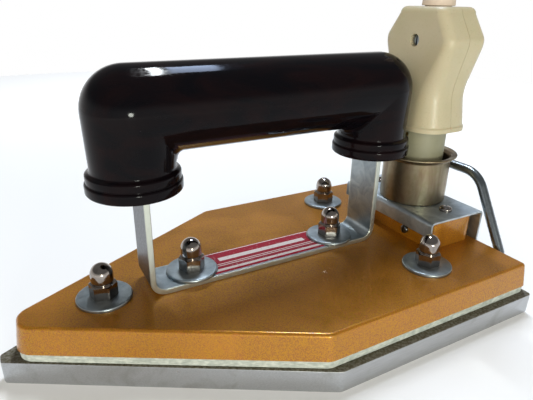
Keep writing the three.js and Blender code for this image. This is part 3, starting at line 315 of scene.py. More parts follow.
# Cast iron as it leaves the sand: dark, rough and grainy
def makeCastIron():
    cast = {"dark": "#2e2b29", "light": "#5b5754", "grain": 0.8 * mm}
    material, add, where = newFinish("roughCastIron", {"Metallic": 0.8, "Roughness": 0.7})
    grain = add("TexNoise", "Fac", {"Vector": where, "Scale": 1 / cast["grain"], "Detail": 6})
    colour = add("Mix", "Result", {"Factor": grain, "A": cast["dark"], "B": cast["light"]})
    bump = add("Bump", "Normal", {"Height": grain, "Strength": 0.5, "Distance": 0.3 * mm})
    return feed(material, {"Base Color": colour, "Normal": bump})


# Pale rubber bush, dusty
def makeRubber():
    rubber = {"pale": "#d6c5b3", "dust": "#bdab98", "cloud": 3 * mm}
    material, add, where = newFinish("paleRubber", {"Roughness": 0.6, "IOR": 1.5})
    clouds = add("TexNoise", "Fac", {"Vector": where, "Scale": 1 / rubber["cloud"], "Detail": 4})
    colour = add("Mix", "Result", {"Factor": clouds, "A": rubber["dust"], "B": rubber["pale"]})
    bump = add("Bump", "Normal", {"Height": clouds, "Strength": 0.15, "Distance": 0.2 * mm})
    return feed(material, {"Base Color": colour, "Normal": bump})


# Printed foil: a crimson ground with plain pale stripes, rubbed away in spots
def makeLabel():
    label = {"ground": "#8c0824", "stripe": "#cfc4c0", "rub": "#a8807c", "rubSize": 1.3 * mm,
             "stripes": ((9.1, 0.3, 30.0), (2.6, 1.5, 24.0), (-1.6, 0.28, 27.0), (-3.0, 0.28, 27.0),
                         (-6.4, 0.9, 30.0))}  # each stripe's middle, half width and half length
    material, add, where = newFinish("printedFoil", {"Roughness": 0.42, "Specular IOR Level": 0.2})
    apart = add("SeparateXYZ", None, {"Vector": where})
    along = add("Math", "Value", {0: apart["X"]}, operation="ABSOLUTE")
    stripes = None
    for middle, half, reach in label["stripes"]:
        off = add("Math", "Value", {0: apart["Y"], 1: middle * mm}, operation="SUBTRACT")
        away = add("Math", "Value", {0: off}, operation="ABSOLUTE")
        inside = add("Math", "Value", {0: away, 1: half * mm}, operation="LESS_THAN")
        short = add("Math", "Value", {0: along, 1: reach * mm}, operation="LESS_THAN")
        one = add("Math", "Value", {0: inside, 1: short}, operation="MULTIPLY")
        if stripes:
            one = add("Math", "Value", {0: stripes, 1: one}, operation="MAXIMUM")
        stripes = one
    printed = add("Mix", "Result", {"Factor": stripes, "A": label["ground"], "B": label["stripe"]})
    rubs = add("TexNoise", "Fac", {"Vector": where, "Scale": 1 / label["rubSize"], "Detail": 5})
    rubbed = add("MapRange", "Result", {"Value": rubs, "From Min": 0.58, "From Max": 0.72, "To Max": 0.7})
    colour = add("Mix", "Result", {"Factor": rubbed, "A": printed, "B": label["rub"]})
    return feed(material, {"Base Color": colour})


finishes = {
    "hammer_paint": makeHammerPaint(), "zinc": makeZinc("brightZincPlate"),
    "bright_nickel": makeBrightNickel(), "dull_nickel": makeDullNickel(),
    "polished_iron": makePolishedIron(), "steel": makeSteel(), "brass": makeBrass(),
    "bakelite": makeBakelite(), "cream_moulding": makeCream(), "ceramic": makeCeramic(),
    "fibre_board": makeFibre(), "mica": makeMica(), "cast_iron": makeCastIron(), "label": makeLabel(),
    "bush_rubber": makeRubber(), "strapZinc": makeZinc("strapZincPlate", 9.4),
    # The cap's zinc is the same plate painted lighter, a lit copy: painted light for the brightness its top
    # shows
    "capZinc": makeZinc("capZincPlate", dull="#a9b4b9", bright="#d0d8dc", smooth=0.44, rubbed=0.58),
}
print("finishes made")


# Small tools for the shapes

def clearSelection():
    if bpy.context.object and bpy.context.object.mode != "OBJECT":
        bpy.ops.object.mode_set(mode="OBJECT")
    bpy.ops.object.select_all(action="DESELECT")


def pick(piece):
    clearSelection()
    piece.select_set(True)
    bpy.context.view_layer.objects.active = piece


def startEditing(mode, action="SELECT"):
    bpy.ops.object.mode_set(mode="EDIT")
    bpy.ops.mesh.select_mode(type=mode)
    bpy.ops.mesh.select_all(action=action)


def tidyMesh():
    bpy.ops.object.mode_set(mode="EDIT")
    bpy.ops.mesh.select_all(action="SELECT")
    bpy.ops.mesh.remove_doubles(threshold=0.002 * mm)
    bpy.ops.mesh.normals_make_consistent(inside=False)
    bpy.ops.object.mode_set(mode="OBJECT")


# Turns and places a piece, and keeps that in its mesh
def setDown(piece, place, turn):
    piece.rotation_euler = turn
    piece.location = Vector(place) * mm
    bpy.ops.object.transform_apply(location=True, rotation=True, scale=True)
    return piece


def useModifier(piece, kind, **settings):
    pick(piece)
    modifier = piece.modifiers.new(kind.lower(), kind)
    for key, value in settings.items():
        setattr(modifier, key, value)
    bpy.ops.object.modifier_apply(modifier=modifier.name)


def softenEdges(piece, width, segments=2, angle=60):
    useModifier(piece, "BEVEL", width=width * mm, segments=segments, limit_method="ANGLE",
                angle_limit=math.radians(angle))


def useBoolean(piece, other, operation="DIFFERENCE"):
    useModifier(piece, "BOOLEAN", object=other, operation=operation, solver="EXACT")
    bpy.data.objects.remove(other)
    tidyMesh()


# Rounds the corners of a path, each to its own radius
def roundPath(corners, radii, closed=False, steps=6):
    path = []
    for index, corner in enumerate(corners):
        radius = radii[index]
        if radius == 0 or (not closed and index in (0, len(corners) - 1)):
            path.append(corner.copy())
            continue
        inward = (corner - corners[index - 1]).normalized()
        outward = (corners[(index + 1) % len(corners)] - corner).normalized()
        turn = inward.angle(outward)
        side = (outward - inward * math.cos(turn)).normalized()
        start = corner - inward * radius * math.tan(turn / 2)
        for step in range(steps + 1):
            angle = turn * step / steps
            path.append(start + inward * radius * math.sin(angle) + side * radius * (1 - math.cos(angle)))
    return path


# A flat blank whose edge follows the points, level or not
def addBlank(name, points):
    clearSelection()
    bpy.ops.mesh.primitive_circle_add(vertices=len(points), radius=10 * mm, fill_type="NGON")
    piece = bpy.context.object
    piece.name = name
    for vertex, point in zip(piece.data.vertices, points):
        vertex.co = point * mm
    return piece


# Draws a blank out through a row of outlines, all with as many points
def drawOut(name, outlines):
    piece = addBlank(name, outlines[0])
    startEditing("FACE")
    for outline in outlines[1:]:
        bpy.ops.mesh.extrude_region_move()
        mesh = bmesh.from_edit_mesh(piece.data)
        end = next(face for face in mesh.faces if face.select)
        for vertex, point in zip(end.verts, outline):
            vertex.co = point * mm
        bmesh.update_edit_mesh(piece.data)
    bpy.ops.object.mode_set(mode="OBJECT")
    tidyMesh()
    return piece


# Turns a profile of radius and height about an upright axis
def turnPiece(name, profile, place=(0, 0), sides=72):
    clearSelection()
    bpy.ops.mesh.primitive_plane_add(size=mm)
    piece = bpy.context.object
    piece.name = name
    startEditing("VERT")
    bpy.ops.mesh.merge(type="CENTER")
    bpy.ops.transform.translate(value=((place[0] + profile[0].x) * mm, place[1] * mm, profile[0].y * mm))
    for before, after in zip(profile, profile[1:]):
        move = (after - before) * mm
        bpy.ops.mesh.extrude_vertices_move(TRANSFORM_OT_translate={"value": (move.x, 0, move.y)})
    bpy.ops.mesh.select_all(action="SELECT")
    bpy.ops.mesh.spin(steps=sides, angle=math.tau, center=(place[0] * mm, place[1] * mm, 0), axis=(0, 0, 1))
    bpy.ops.object.mode_set(mode="OBJECT")
    tidyMesh()
    return piece


# Each point of a profile is its radius, its height and, where that corner is rounded, how much
def profileOf(points, closed=False, steps=4):
    corners = [Vector((point[0], point[1])) for point in points]
    radii = [point[2] if len(point) > 2 else 0 for point in points]
    path = roundPath(corners, radii, closed, steps)
    return path + [path[0].copy()] if closed else path


def layAlong(piece, direction, place):
    pick(piece)
    return setDown(piece, place, Vector((0, 0, 1)).rotation_difference(Vector(direction)).to_euler())


def copyPiece(source, name, place, turn=0.0):
    clearSelection()
    piece = source.copy()
    piece.data = source.data.copy()
    bpy.context.scene.collection.objects.link(piece)
    piece.name = name
    pick(piece)
    return setDown(piece, place, (0, 0, turn))


def addBlock(low, high):
    clearSelection()
    bpy.ops.mesh.primitive_cube_add(size=1)
    block = bpy.context.object
    block.scale = (Vector(high) - Vector(low)) * mm
    return setDown(block, (Vector(high) + Vector(low)) / 2, (0, 0, 0))


def addRod(radius, start, end, sides=48):
    clearSelection()
    span = (Vector(end) - Vector(start)) * mm
    bpy.ops.mesh.primitive_cylinder_add(vertices=sides, radius=radius * mm, depth=span.length)
    twist = Quaternion((0, 0, 1), 0.03)  # keeps its corners off the flat planes of what it cuts
    turn = (Vector((0, 0, 1)).rotation_difference(span) @ twist).to_euler()
    return setDown(bpy.context.object, (Vector(start) + Vector(end)) / 2, turn)


# Rounds the edges that lie where the test says
def easeEdges(piece, test, width, segments):
    pick(piece)
    startEditing("EDGE", "DESELECT")
    mesh = bmesh.from_edit_mesh(piece.data)
    for edge in mesh.edges:
        if test(edge):
            edge.select = True
    bmesh.update_edit_mesh(piece.data)
    bpy.ops.mesh.bevel(offset=width * mm, segments=segments, affect="EDGES")
    bpy.ops.object.mode_set(mode="OBJECT")


def levelEdge(height):
    return lambda edge: all(abs(vertex.co.z - height * mm) < 0.01 * mm for vertex in edge.verts)


def finishPiece(piece, finish, body, nodes, smooth=30, weighted=False):
    pick(piece)
    bpy.ops.object.shade_smooth_by_angle(angle=math.radians(smooth))
    if weighted:
        useModifier(piece, "WEIGHTED_NORMAL", keep_sharp=True)
    piece.data.materials.clear()
    piece.data.materials.append(finishes[finish])
    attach(piece, body)
    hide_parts(*nodes)


# Each point of a path with the way into it and its mean direction
def walkAlong(path):
    for index, here in enumerate(path):
        into = (here - path[index - 1]).normalized() if index else (path[1] - here).normalized()
        out = (path[index + 1] - here).normalized() if index + 1 < len(path) else into
        yield here, into, (into + out).normalized()


# A band of even thickness along a path in the XZ plane, with a width for each point
def bandOutlines(path, thickness, widths):
    outlines = []
    for (here, into, along), width in zip(walkAlong(path), widths):
        reach = thickness / 2 / max(along.dot(into), 0.5)
        side = Vector((-along.z, 0, along.x)) * reach
        half = Vector((0, width / 2, 0))
        outlines.append([here - side - half, here - side + half, here + side + half, here + side - half])
    return outlines


# Round rings along a path in space
def tubeOutlines(path, radius, sides=28):
    outlines = []
    normal = Vector((0, 0, 1))
    for here, _, along in walkAlong(path):
        normal = (normal - along * normal.dot(along)).normalized()
        across = along.cross(normal)
        outlines.append([here + (normal * math.cos(a) + across * math.sin(a)) * radius
                         for a in (math.tau * side / sides for side in range(sides))])
    return outlines


# Plan of the iron: a narrow nose, two straight tapers, parallel sides and a square heel
coverPlan = {"toe": 112, "heel": 111.5, "width": 131, "nose": 10.8, "spread": 0.568,
             "noseRound": 7, "shoulderRound": 6, "heelRound": 2, "tip": 4, "tipShare": 0.96}
coverPlan["taper"] = (coverPlan["width"] - coverPlan["nose"]) / 2 / coverPlan["spread"]
solePlan = {"toe": 120.2, "heel": 114, "width": 140, "nose": 5, "taper": coverPlan["taper"] + 11.4,
            "noseRound": 1.6, "shoulderRound": 6, "heelRound": 1.8, "tip": 1, "tipShare": 0.96}
levels = {"soleTop": 11, "coverFoot": 15, "coverTop": 26.7, "strapTop": 29.2, "capTop": 42.65,
          "discTop": 46.45}


def planOutline(plan, margin, height):
    lean = math.atan2((plan["width"] - plan["nose"]) / 2, plan["taper"])
    sharpY = plan["nose"] / 2 + margin * (1 - math.sin(lean)) / math.cos(lean)
    toeY = max(sharpY, plan["tip"])
    toeX = -plan["toe"] - margin + (toeY - sharpY) / math.tan(lean)
    shoulderX = -plan["toe"] + plan["taper"] + margin * (1 - 1 / math.cos(lean)) / math.tan(lean)
    sideY = plan["width"] / 2 + margin
    heelX = plan["heel"] + margin
    nose = min(plan["noseRound"] + margin, plan["tipShare"] * toeY / math.tan(math.pi / 4 - lean / 2))
    corners = [Vector((x, y, height)) for x, y in (
        (toeX, -toeY), (shoulderX, -sideY), (heelX, -sideY),
        (heelX, sideY), (shoulderX, sideY), (toeX, toeY))]
    shoulder, heel = plan["shoulderRound"] + margin, plan["heelRound"] + margin
    return roundPath(corners, [nose, shoulder, heel, heel, shoulder, nose], True, 8)


# A plate of the iron's plan, with its lower and upper edges rounded
def makePlate(name, plan, margin, low, high, lowEdge, highEdge):
    piece = drawOut(name, [planOutline(plan, margin, low), planOutline(plan, margin, high)])
    for height, (width, segments) in ((low, lowEdge), (high, highEdge)):
        easeEdges(piece, levelEdge(height), width, segments)
    return piece


def makeSole():
    sole = {"lowEdge": (1.2, 4), "topEdge": (0.5, 3)}  # how far and in how many steps an edge is rounded
    piece = makePlate("soleForging", solePlan, 0, 0, levels["soleTop"], sole["lowEdge"], sole["topEdge"])
    finishPiece(piece, "polished_iron", ironBody, ["sole_plate"], weighted=True)


def makeGasket():
    gasket = {"margin": 0.9, "edge": (0.5, 2)}
    piece = makePlate("gasketBoard", coverPlan, gasket["margin"], levels["soleTop"], levels["coverFoot"],
                      gasket["edge"], gasket["edge"])
    finishPiece(piece, "fibre_board", ironBody, ["gasket_frame"], weighted=True)


heelRod = {"radius": 2.5, "start": 89.5, "x": 117, "footY": 48.7, "topY": 24.8, "footZ": 18.7, "topZ": 60.0,
           "footBend": 5, "topBend": 14}


# The pressed cover: its flared side and rounded edge are insets of one blank, then the sheet gets its wall
def makeCover():
    cover = {"flare": 1.5, "edge": 1.6, "wall": 1.2, "edgeSteps": 5, "holeGap": 0.3, "holeReach": 30}
    piece = addBlank("coverPressing", planOutline(coverPlan, cover["flare"], levels["coverFoot"]))
    startEditing("FACE")
    rise = levels["coverTop"] - levels["coverFoot"] - cover["edge"]
    bpy.ops.mesh.inset(thickness=cover["flare"] * mm, depth=rise * mm, use_even_offset=True)
    for step in range(cover["edgeSteps"]):
        before, after = [math.pi / 2 * at / cover["edgeSteps"] for at in (step, step + 1)]
        inward = cover["edge"] * (math.cos(before) - math.cos(after)) * mm
        upward = cover["edge"] * (math.sin(after) - math.sin(before)) * mm
        bpy.ops.mesh.inset(thickness=inward, depth=upward, use_even_offset=True)
    bpy.ops.object.mode_set(mode="OBJECT")
    useModifier(piece, "SOLIDIFY", thickness=cover["wall"] * mm, offset=-1, use_even_offset=True)
    for side in (-1, 1):
        foot = Vector((heelRod["start"], side * heelRod["footY"], heelRod["footZ"]))
        drill = addRod(heelRod["radius"] + cover["holeGap"], foot, foot + Vector((cover["holeReach"], 0, 0)))
        useBoolean(piece, drill)
    finishPiece(piece, "hammer_paint", ironBody, ["cover"], weighted=True)


# Each stud's place, and how far its nut is turned, in radians
coverStuds = {"front": (-77.8, 0, 0.2), "rear_near": (65.4, -43.8, 0.5), "rear_far": (65.4, 43.8, 0.9)}
strapStuds = {"front": (-38.4, 0, 0.35), "rear": (38.4, 0, 0.1)}


# Washer and crowned nut are modelled once and copied to the five studs
def makeFastenings():
    washer = {"bore": 3.3, "radius": 11.65, "thickness": 1.6, "low": 0.2, "burr": 0.35, "drawIn": 0.6}
    nut = {"flats": 10.4, "hexHeight": 6.2, "height": 15, "domeRadius": 4.7, "neck": 0.35, "neckHeight": 0.5,
           "skirt": 1.1, "chamfer": 0.55, "foot": 0.35, "cornerEase": 0.3, "domeSteps": 12, "lap": 1,
           "proud": 0.02}  # the turning stands a hair proud of the hexagon, so that no two faces coincide
    disc = turnPiece("washerDisc", profileOf([
        (washer["bore"], 0), (washer["radius"], 0, washer["low"]),
        (washer["radius"], washer["thickness"], washer["drawIn"]),
        (washer["bore"], washer["thickness"], washer["burr"])], closed=True), sides=96)
    corner, top, bulge = nut["flats"] / math.sqrt(3), nut["hexHeight"], nut["domeRadius"]
    clearSelection()
    bpy.ops.mesh.primitive_cylinder_add(vertices=6, radius=corner * mm, depth=top * mm)
    crown = bpy.context.object
    crown.name = "crownNut"
    layAlong(crown, (0, 0, 1), (0, 0, top / 2))
    easeEdges(crown, lambda edge: abs(edge.verts[0].co.z - edge.verts[1].co.z) > mm, nut["cornerEase"], 2)
    turned = turnPiece("nutTurning", profileOf([
        (0, 0), (corner - nut["foot"], 0), (corner, nut["foot"]), (corner, top - nut["chamfer"]),
        (bulge, top + nut["proud"]), (0, top + nut["proud"])]), sides=96)
    useBoolean(crown, turned, "INTERSECT")
    neck = bulge - nut["neck"]
    dome = [(0, top - nut["lap"]), (neck, top - nut["lap"]), (neck, top + nut["neckHeight"], 0.3),
            (bulge, top + nut["skirt"], 0.3)]
    dome += [(bulge * math.cos(a), nut["height"] - bulge + bulge * math.sin(a))
             for a in (math.pi / 2 * step / nut["domeSteps"] for step in range(nut["domeSteps"] + 1))]
    useBoolean(crown, turnPiece("nutDome", profileOf(dome), sides=64), "UNION")
    for prefix, studs, seat in (
            ("", coverStuds, levels["coverTop"]), ("strap_", strapStuds, levels["strapTop"])):
        for name, (x, y, turn) in studs.items():
            label = (prefix + name).replace("_", ".")
            copied = copyPiece(disc, "washer." + label, (x, y, seat), turn)
            finishPiece(copied, "zinc", ironBody, [f"{prefix}washer_{name}"])
            copied = copyPiece(crown, "crownNut." + label, (x, y, seat + washer["thickness"]), turn)
            finishPiece(copied, "bright_nickel", ironBody, [f"{prefix}dome_nut_{name}"], smooth=24)
    bpy.data.objects.remove(disc)
    bpy.data.objects.remove(crown)


def makeStrap():
    strap = {"width": 20, "thickness": 2.5, "line": 59.0, "tabMiddle": 87.75, "tabEnd": 48.45,
             "bend": 5.75, "topBend": 3, "tabWidth": 12, "edge": 0.75}
    middle = levels["strapTop"] - strap["thickness"] / 2
    corners = [Vector((x, 0, z)) for x, z in (
        (-strap["tabEnd"], strap["tabMiddle"]), (-strap["line"], strap["tabMiddle"]),
        (-strap["line"], middle), (strap["line"], middle),
        (strap["line"], strap["tabMiddle"]), (strap["tabEnd"], strap["tabMiddle"]))]
    radii = [0, strap["topBend"], strap["bend"], strap["bend"], strap["topBend"], 0]
    path = roundPath(corners, radii, steps=10)
    shoulder = strap["tabMiddle"] - strap["topBend"] + 0.2
    widths = [strap["tabWidth"] if point.z > shoulder else strap["width"] for point in path]
    piece = drawOut("handleStrap", bandOutlines(path, strap["thickness"], widths))
    softenEdges(piece, strap["edge"], 3)
    finishPiece(piece, "strapZinc", ironBody, ["handle_strap"], weighted=True)


# The label's foil, with a round bite at each end that clears the strap's washer
def makeLabelPlate():
    plate = {"end": 30, "near": -8.2, "far": 9.7, "thickness": 0.4, "clear": 11.95,
             "biteTurn": 0.75, "steps": 12}
    outline = []
    for end in (1, -1):
        bolt = Vector((end * strapStuds["rear"][0], 0, 0))
        middle = math.pi if end == 1 else 0
        ys = (plate["near"], plate["far"]) if end == 1 else (plate["far"], plate["near"])
        outline.append(Vector((end * plate["end"], ys[0], levels["strapTop"])))
        for step in range(plate["steps"] + 1):
            angle = middle + plate["biteTurn"] * (1 - 2 * step / plate["steps"])
            spot = bolt + Vector((math.cos(angle), math.sin(angle), 0)) * plate["clear"]
            if abs(spot.x) < plate["end"]:
                outline.append(Vector((spot.x, spot.y, levels["strapTop"])))
        outline.append(Vector((end * plate["end"], ys[1], levels["strapTop"])))
    lifted = [point + Vector((0, 0, plate["thickness"])) for point in outline]
    finishPiece(drawOut("labelFoil", [outline, lifted]), "label", ironBody, ["label_plate"])


# The handle is drawn out from the foot of one leg, round the elbow, along the bar and down the other leg
def makeHandle():
    handle = {"legX": 60.5, "axis": 105.2, "radius": 17.5, "foot": 73.5, "leg": 16.9, "collar": 19.4,
              "collarTop": 4.7, "bead": 18.8, "beadFoot": 5.1, "beadTop": 8.1, "legFrom": 8.9, "legEnd": 10.6,
              "crotch": 3.2, "sides": 72, "elbowSteps": 14, "barEnd": 36, "barStep": 12, "slotTop": 89.3,
              "slots": ((57.45, 60.55, 10.3), (48.15, 60.55, 6.3))}  # near and far end, and half the width
    ring = [math.tau * (side + 0.5) / handle["sides"] for side in range(handle["sides"])]
    foot, collar, bead, leg = handle["foot"], handle["collar"], handle["bead"], handle["leg"]
    ledge = foot + handle["collarTop"]
    profile = profileOf([
        (collar - 2.2, foot), (collar, foot, 1.1), (collar, ledge, 1.0), (bead - 0.5, ledge, 0.25),
        (bead, foot + handle["beadFoot"], 0.3), (bead, foot + handle["beadTop"], 0.8),
        (leg, foot + handle["legFrom"], 0.9), (leg, foot + handle["legEnd"])], steps=5)

    def legOutline(end, radius, height):
        return [Vector((end * (handle["legX"] + radius * math.cos(a)), radius * math.sin(a), height))
                for a in ring]

    def elbowOutline(end, angle):
        points = []
        for a in ring:
            rise = handle["radius"] * math.cos(a)
            pivot, reach = 0, rise
            if rise < 0:  # the inside of the bend turns about a line of its own
                reach = handle["crotch"] * -rise / handle["radius"]
                pivot = rise - reach
            x = handle["legX"] + pivot + reach * math.sin(angle)
            z = handle["axis"] + pivot + reach * math.cos(angle)
            points.append(Vector((end * x, handle["radius"] * math.sin(a), z)))
        return points

    turns = [math.pi / 2 * step / handle["elbowSteps"] for step in range(handle["elbowSteps"] + 1)]
    outlines = [legOutline(-1, spot.x, spot.y) for spot in profile]
    outlines += [elbowOutline(-1, angle) for angle in reversed(turns)]
    outlines += [[Vector((x, handle["radius"] * math.sin(a), handle["axis"] + handle["radius"] * math.cos(a)))
                  for a in ring] for x in range(-handle["barEnd"], handle["barEnd"] + 1, handle["barStep"])]
    outlines += [elbowOutline(1, angle) for angle in turns]
    outlines += [legOutline(1, spot.x, spot.y) for spot in reversed(profile)]
    piece = drawOut("barHandle", outlines)
    for end in (-1, 1):
        for near, far, half in handle["slots"]:
            low, high = sorted((end * near, end * far))
            useBoolean(piece, addBlock((low, -half, foot - 3), (high, half, handle["slotTop"])))
    finishPiece(piece, "bakelite", ironBody, ["handle"], smooth=40)


def roundedBox(centreX, depth, width, radius, height, steps=7):
    x, y = depth / 2, width / 2
    corners = [Vector((centreX + a * x, b * y, height)) for a, b in ((-1, -1), (1, -1), (1, 1), (-1, 1))]
    return roundPath(corners, [radius] * 4, True, steps)


def makeTerminalBox():
    box = {"front": 78, "back": 109.7, "width": 67.4, "round": 7.5, "top": 41.45, "wall": 1.2, "edge": 0.3,
           "overcut": 2}
    middle, depth = (box["front"] + box["back"]) / 2, box["back"] - box["front"]

    def drawWalls(name, inset, low, high):
        return drawOut(name, [
            roundedBox(middle, depth - inset * 2, box["width"] - inset * 2, box["round"] - inset, height)
            for height in (low, high)])

    piece = drawWalls("terminalBox", 0, levels["coverTop"], box["top"])
    low, high = levels["coverTop"] - box["overcut"], box["top"] + box["overcut"]
    useBoolean(piece, drawWalls("boxHollow", box["wall"], low, high))
    softenEdges(piece, box["edge"])
    finishPiece(piece, "hammer_paint", ironBody, ["terminal_box"], weighted=True)


plugX = 95.5  # the shroud, the pins and the connector stand on one line


def makeTerminalCap():
    cap = {"front": 76.6, "back": 113.2, "frontLow": 34.0, "backLow": 23.65, "bend": 1.6, "sheet": 1.2,
           "width": 68.9, "edge": 0.3, "hole": 10.8, "holeLow": 40, "holeHigh": 44}
    top = levels["capTop"] - cap["sheet"] / 2
    corners = [Vector((x, 0, z)) for x, z in (
        (cap["front"], cap["frontLow"]), (cap["front"], top),
        (cap["back"], top), (cap["back"], cap["backLow"]))]
    path = roundPath(corners, [0, cap["bend"], cap["bend"], 0], steps=8)
    piece = drawOut("terminalCap", bandOutlines(path, cap["sheet"], [cap["width"]] * len(path)))
    softenEdges(piece, cap["edge"])
    useBoolean(piece, addRod(cap["hole"], (plugX, 0, cap["holeLow"]), (plugX, 0, cap["holeHigh"]), 64))
    finishPiece(piece, "capZinc", ironBody, ["terminal_cap"], weighted=True)


def makeShroud():
    cup = {"radius": 17.8, "wall": 0.8, "top": 69.15, "lip": 3.0, "neck": 10.8}
    low, high, inner = levels["capTop"], cup["top"], cup["radius"] - cup["wall"]
    piece = turnPiece("shroudCup", profileOf([
        (cup["neck"], low), (cup["radius"], low, 0.9), (cup["radius"], high - 2.6, 1.6),
        (cup["radius"] + cup["lip"], high - 0.9, 0.3), (cup["radius"] + cup["lip"], high, 0.35),
        (inner + 0.9, high - 0.5, 1.2), (inner, high - 2.4, 0.8), (inner, low + cup["wall"], 0.5),
        (cup["neck"], low + cup["wall"])], closed=True, steps=5), place=(plugX, 0), sides=128)
    finishPiece(piece, "dull_nickel", ironBody, ["shroud"], smooth=40)


# Pan head screws with a slot, standing head up on zero
def slottedScrew(name, radius, headRadius, headHeight, length):
    piece = turnPiece(name, profileOf([
        (0, -length), (radius, -length, 0.3), (radius, 0), (headRadius, 0),
        (headRadius, headHeight, headHeight / 2), (headRadius / 2, headHeight + 0.12),
        (0, headHeight + 0.15)]), sides=48)
    past, half, floor = headRadius + 1, 0.4, headHeight * 0.45
    useBoolean(piece, addBlock((-past, -half, floor), (past, half, headHeight + 1)))
    return piece


def makeTerminalScrews():
    cap = {"radius": 1.9, "headRadius": 3.3, "headHeight": 1.8, "length": 9}
    earth = {"radius": 1.4, "headRadius": 2.3, "headHeight": 1.7, "length": 6}
    for name, y, turn in (("near", -25, 0.6), ("far", 25, 2.0)):
        screw = slottedScrew("capScrew." + name, **cap)
        pick(screw)
        setDown(screw, (plugX, y, levels["capTop"]), (0, 0, turn))
        finishPiece(screw, "bright_nickel", ironBody, ["cap_screw_" + name])
    screw = layAlong(slottedScrew("earthScrew", **earth), (-1, 0, 0), (78, -15.5, 31.4))
    finishPiece(screw, "steel", ironBody, ["earth_screw"])


def makeInlet():
    disc = {"radius": 16.3, "bottom": 43.45, "edge": 0.8}
    pin = {"y": 7, "radius": 2.5, "top": 62.95, "tip": 1.8, "collar": 3.9, "collarTop": 47.95, "shank": 1.8,
           "bottom": 31.0}
    seat = levels["discTop"]
    piece = turnPiece("inletDisc", profileOf([
        (0, disc["bottom"]), (disc["radius"], disc["bottom"]), (disc["radius"], seat, disc["edge"]),
        (0, seat)]), place=(plugX, 0), sides=96)
    finishPiece(piece, "ceramic", ironBody, ["inlet_disc"])
    for name, side in (("near", -1), ("far", 1)):
        contact = turnPiece("contactPin." + name, profileOf([
            (0, pin["bottom"]), (pin["shank"], pin["bottom"]), (pin["shank"], seat), (pin["collar"], seat),
            (pin["collar"], pin["collarTop"], 0.4), (pin["radius"], pin["collarTop"], 0.3),
            (pin["radius"], pin["top"] - pin["tip"]), (pin["radius"], pin["top"], 1.9), (0, pin["top"])],
            steps=6), place=(plugX, side * pin["y"]), sides=40)
        finishPiece(contact, "brass", ironBody, ["pin_" + name], smooth=40)


def makeHeelRod():
    rod = heelRod
    corners = [Vector(point) for point in (
        (rod["start"], -rod["footY"], rod["footZ"]), (rod["x"], -rod["footY"], rod["footZ"]),
        (rod["x"], -rod["topY"], rod["topZ"]), (rod["x"], rod["topY"], rod["topZ"]),
        (rod["x"], rod["footY"], rod["footZ"]), (rod["start"], rod["footY"], rod["footZ"]))]
    radii = [0, rod["footBend"], rod["topBend"], rod["topBend"], rod["footBend"], 0]
    piece = drawOut("heelRod", tubeOutlines(roundPath(corners, radii, steps=12), rod["radius"]))
    finishPiece(piece, "steel", ironBody, ["heel_rest"], smooth=50)


# The connector's moulding: height above its foot, depth, width and corner radius at each station, and over
# what height the sides ease from one slope into the next
moulding = {
    "foot": 83.6, "crownRound": 3, "crownRise": 3.2, "steps": 5,
    "stations": ((0, 33, 40, 12, 0), (2.0, 33, 40, 12, 0.35), (2.7, 31.7, 38.7, 11.3, 0.3),
                 (7, 31, 37.6, 11, 2), (19.5, 28, 33, 9, 6), (42, 26.4, 44.5, 5, 1.8),
                 (45.5, 26.4, 44.5, 5, 1.5), (56.2, 25, 31, 5, 0)),
}


def mouldingOutlines(inset=0.0, low=0, high=math.inf):
    steps = moulding["steps"]
    stations = [Vector(station[:4]) for station in moulding["stations"]]
    rows = []
    for index, here in enumerate(stations):
        blend = moulding["stations"][index][4]
        if blend == 0:
            rows.append(here)
            continue
        before, after = stations[index - 1], stations[index + 1]
        start = here + (before - here) * blend / (here[0] - before[0])
        end = here + (after - here) * blend / (after[0] - here[0])
        for step in range(steps + 1):
            t = step / steps
            rows.append(start * (1 - t) ** 2 + here * 2 * t * (1 - t) + end * t ** 2)
    top, depth, width, radius = stations[-1]
    for step in range(1, steps + 1):  # the rounded edge of the crown
        angle = math.pi / 2 * step / steps
        drawn = moulding["crownRound"] * (1 - math.cos(angle))
        rise = moulding["crownRise"] * math.sin(angle)
        rows.append((top + rise, depth - drawn * 2, width - drawn * 2, radius - drawn / 2))
    return [roundedBox(plugX, depth - inset * 2, width - inset * 2, max(radius - inset, 0.4),
                       moulding["foot"] + height, 8)
            for height, depth, width, radius in rows if low < moulding["foot"] + height < high]


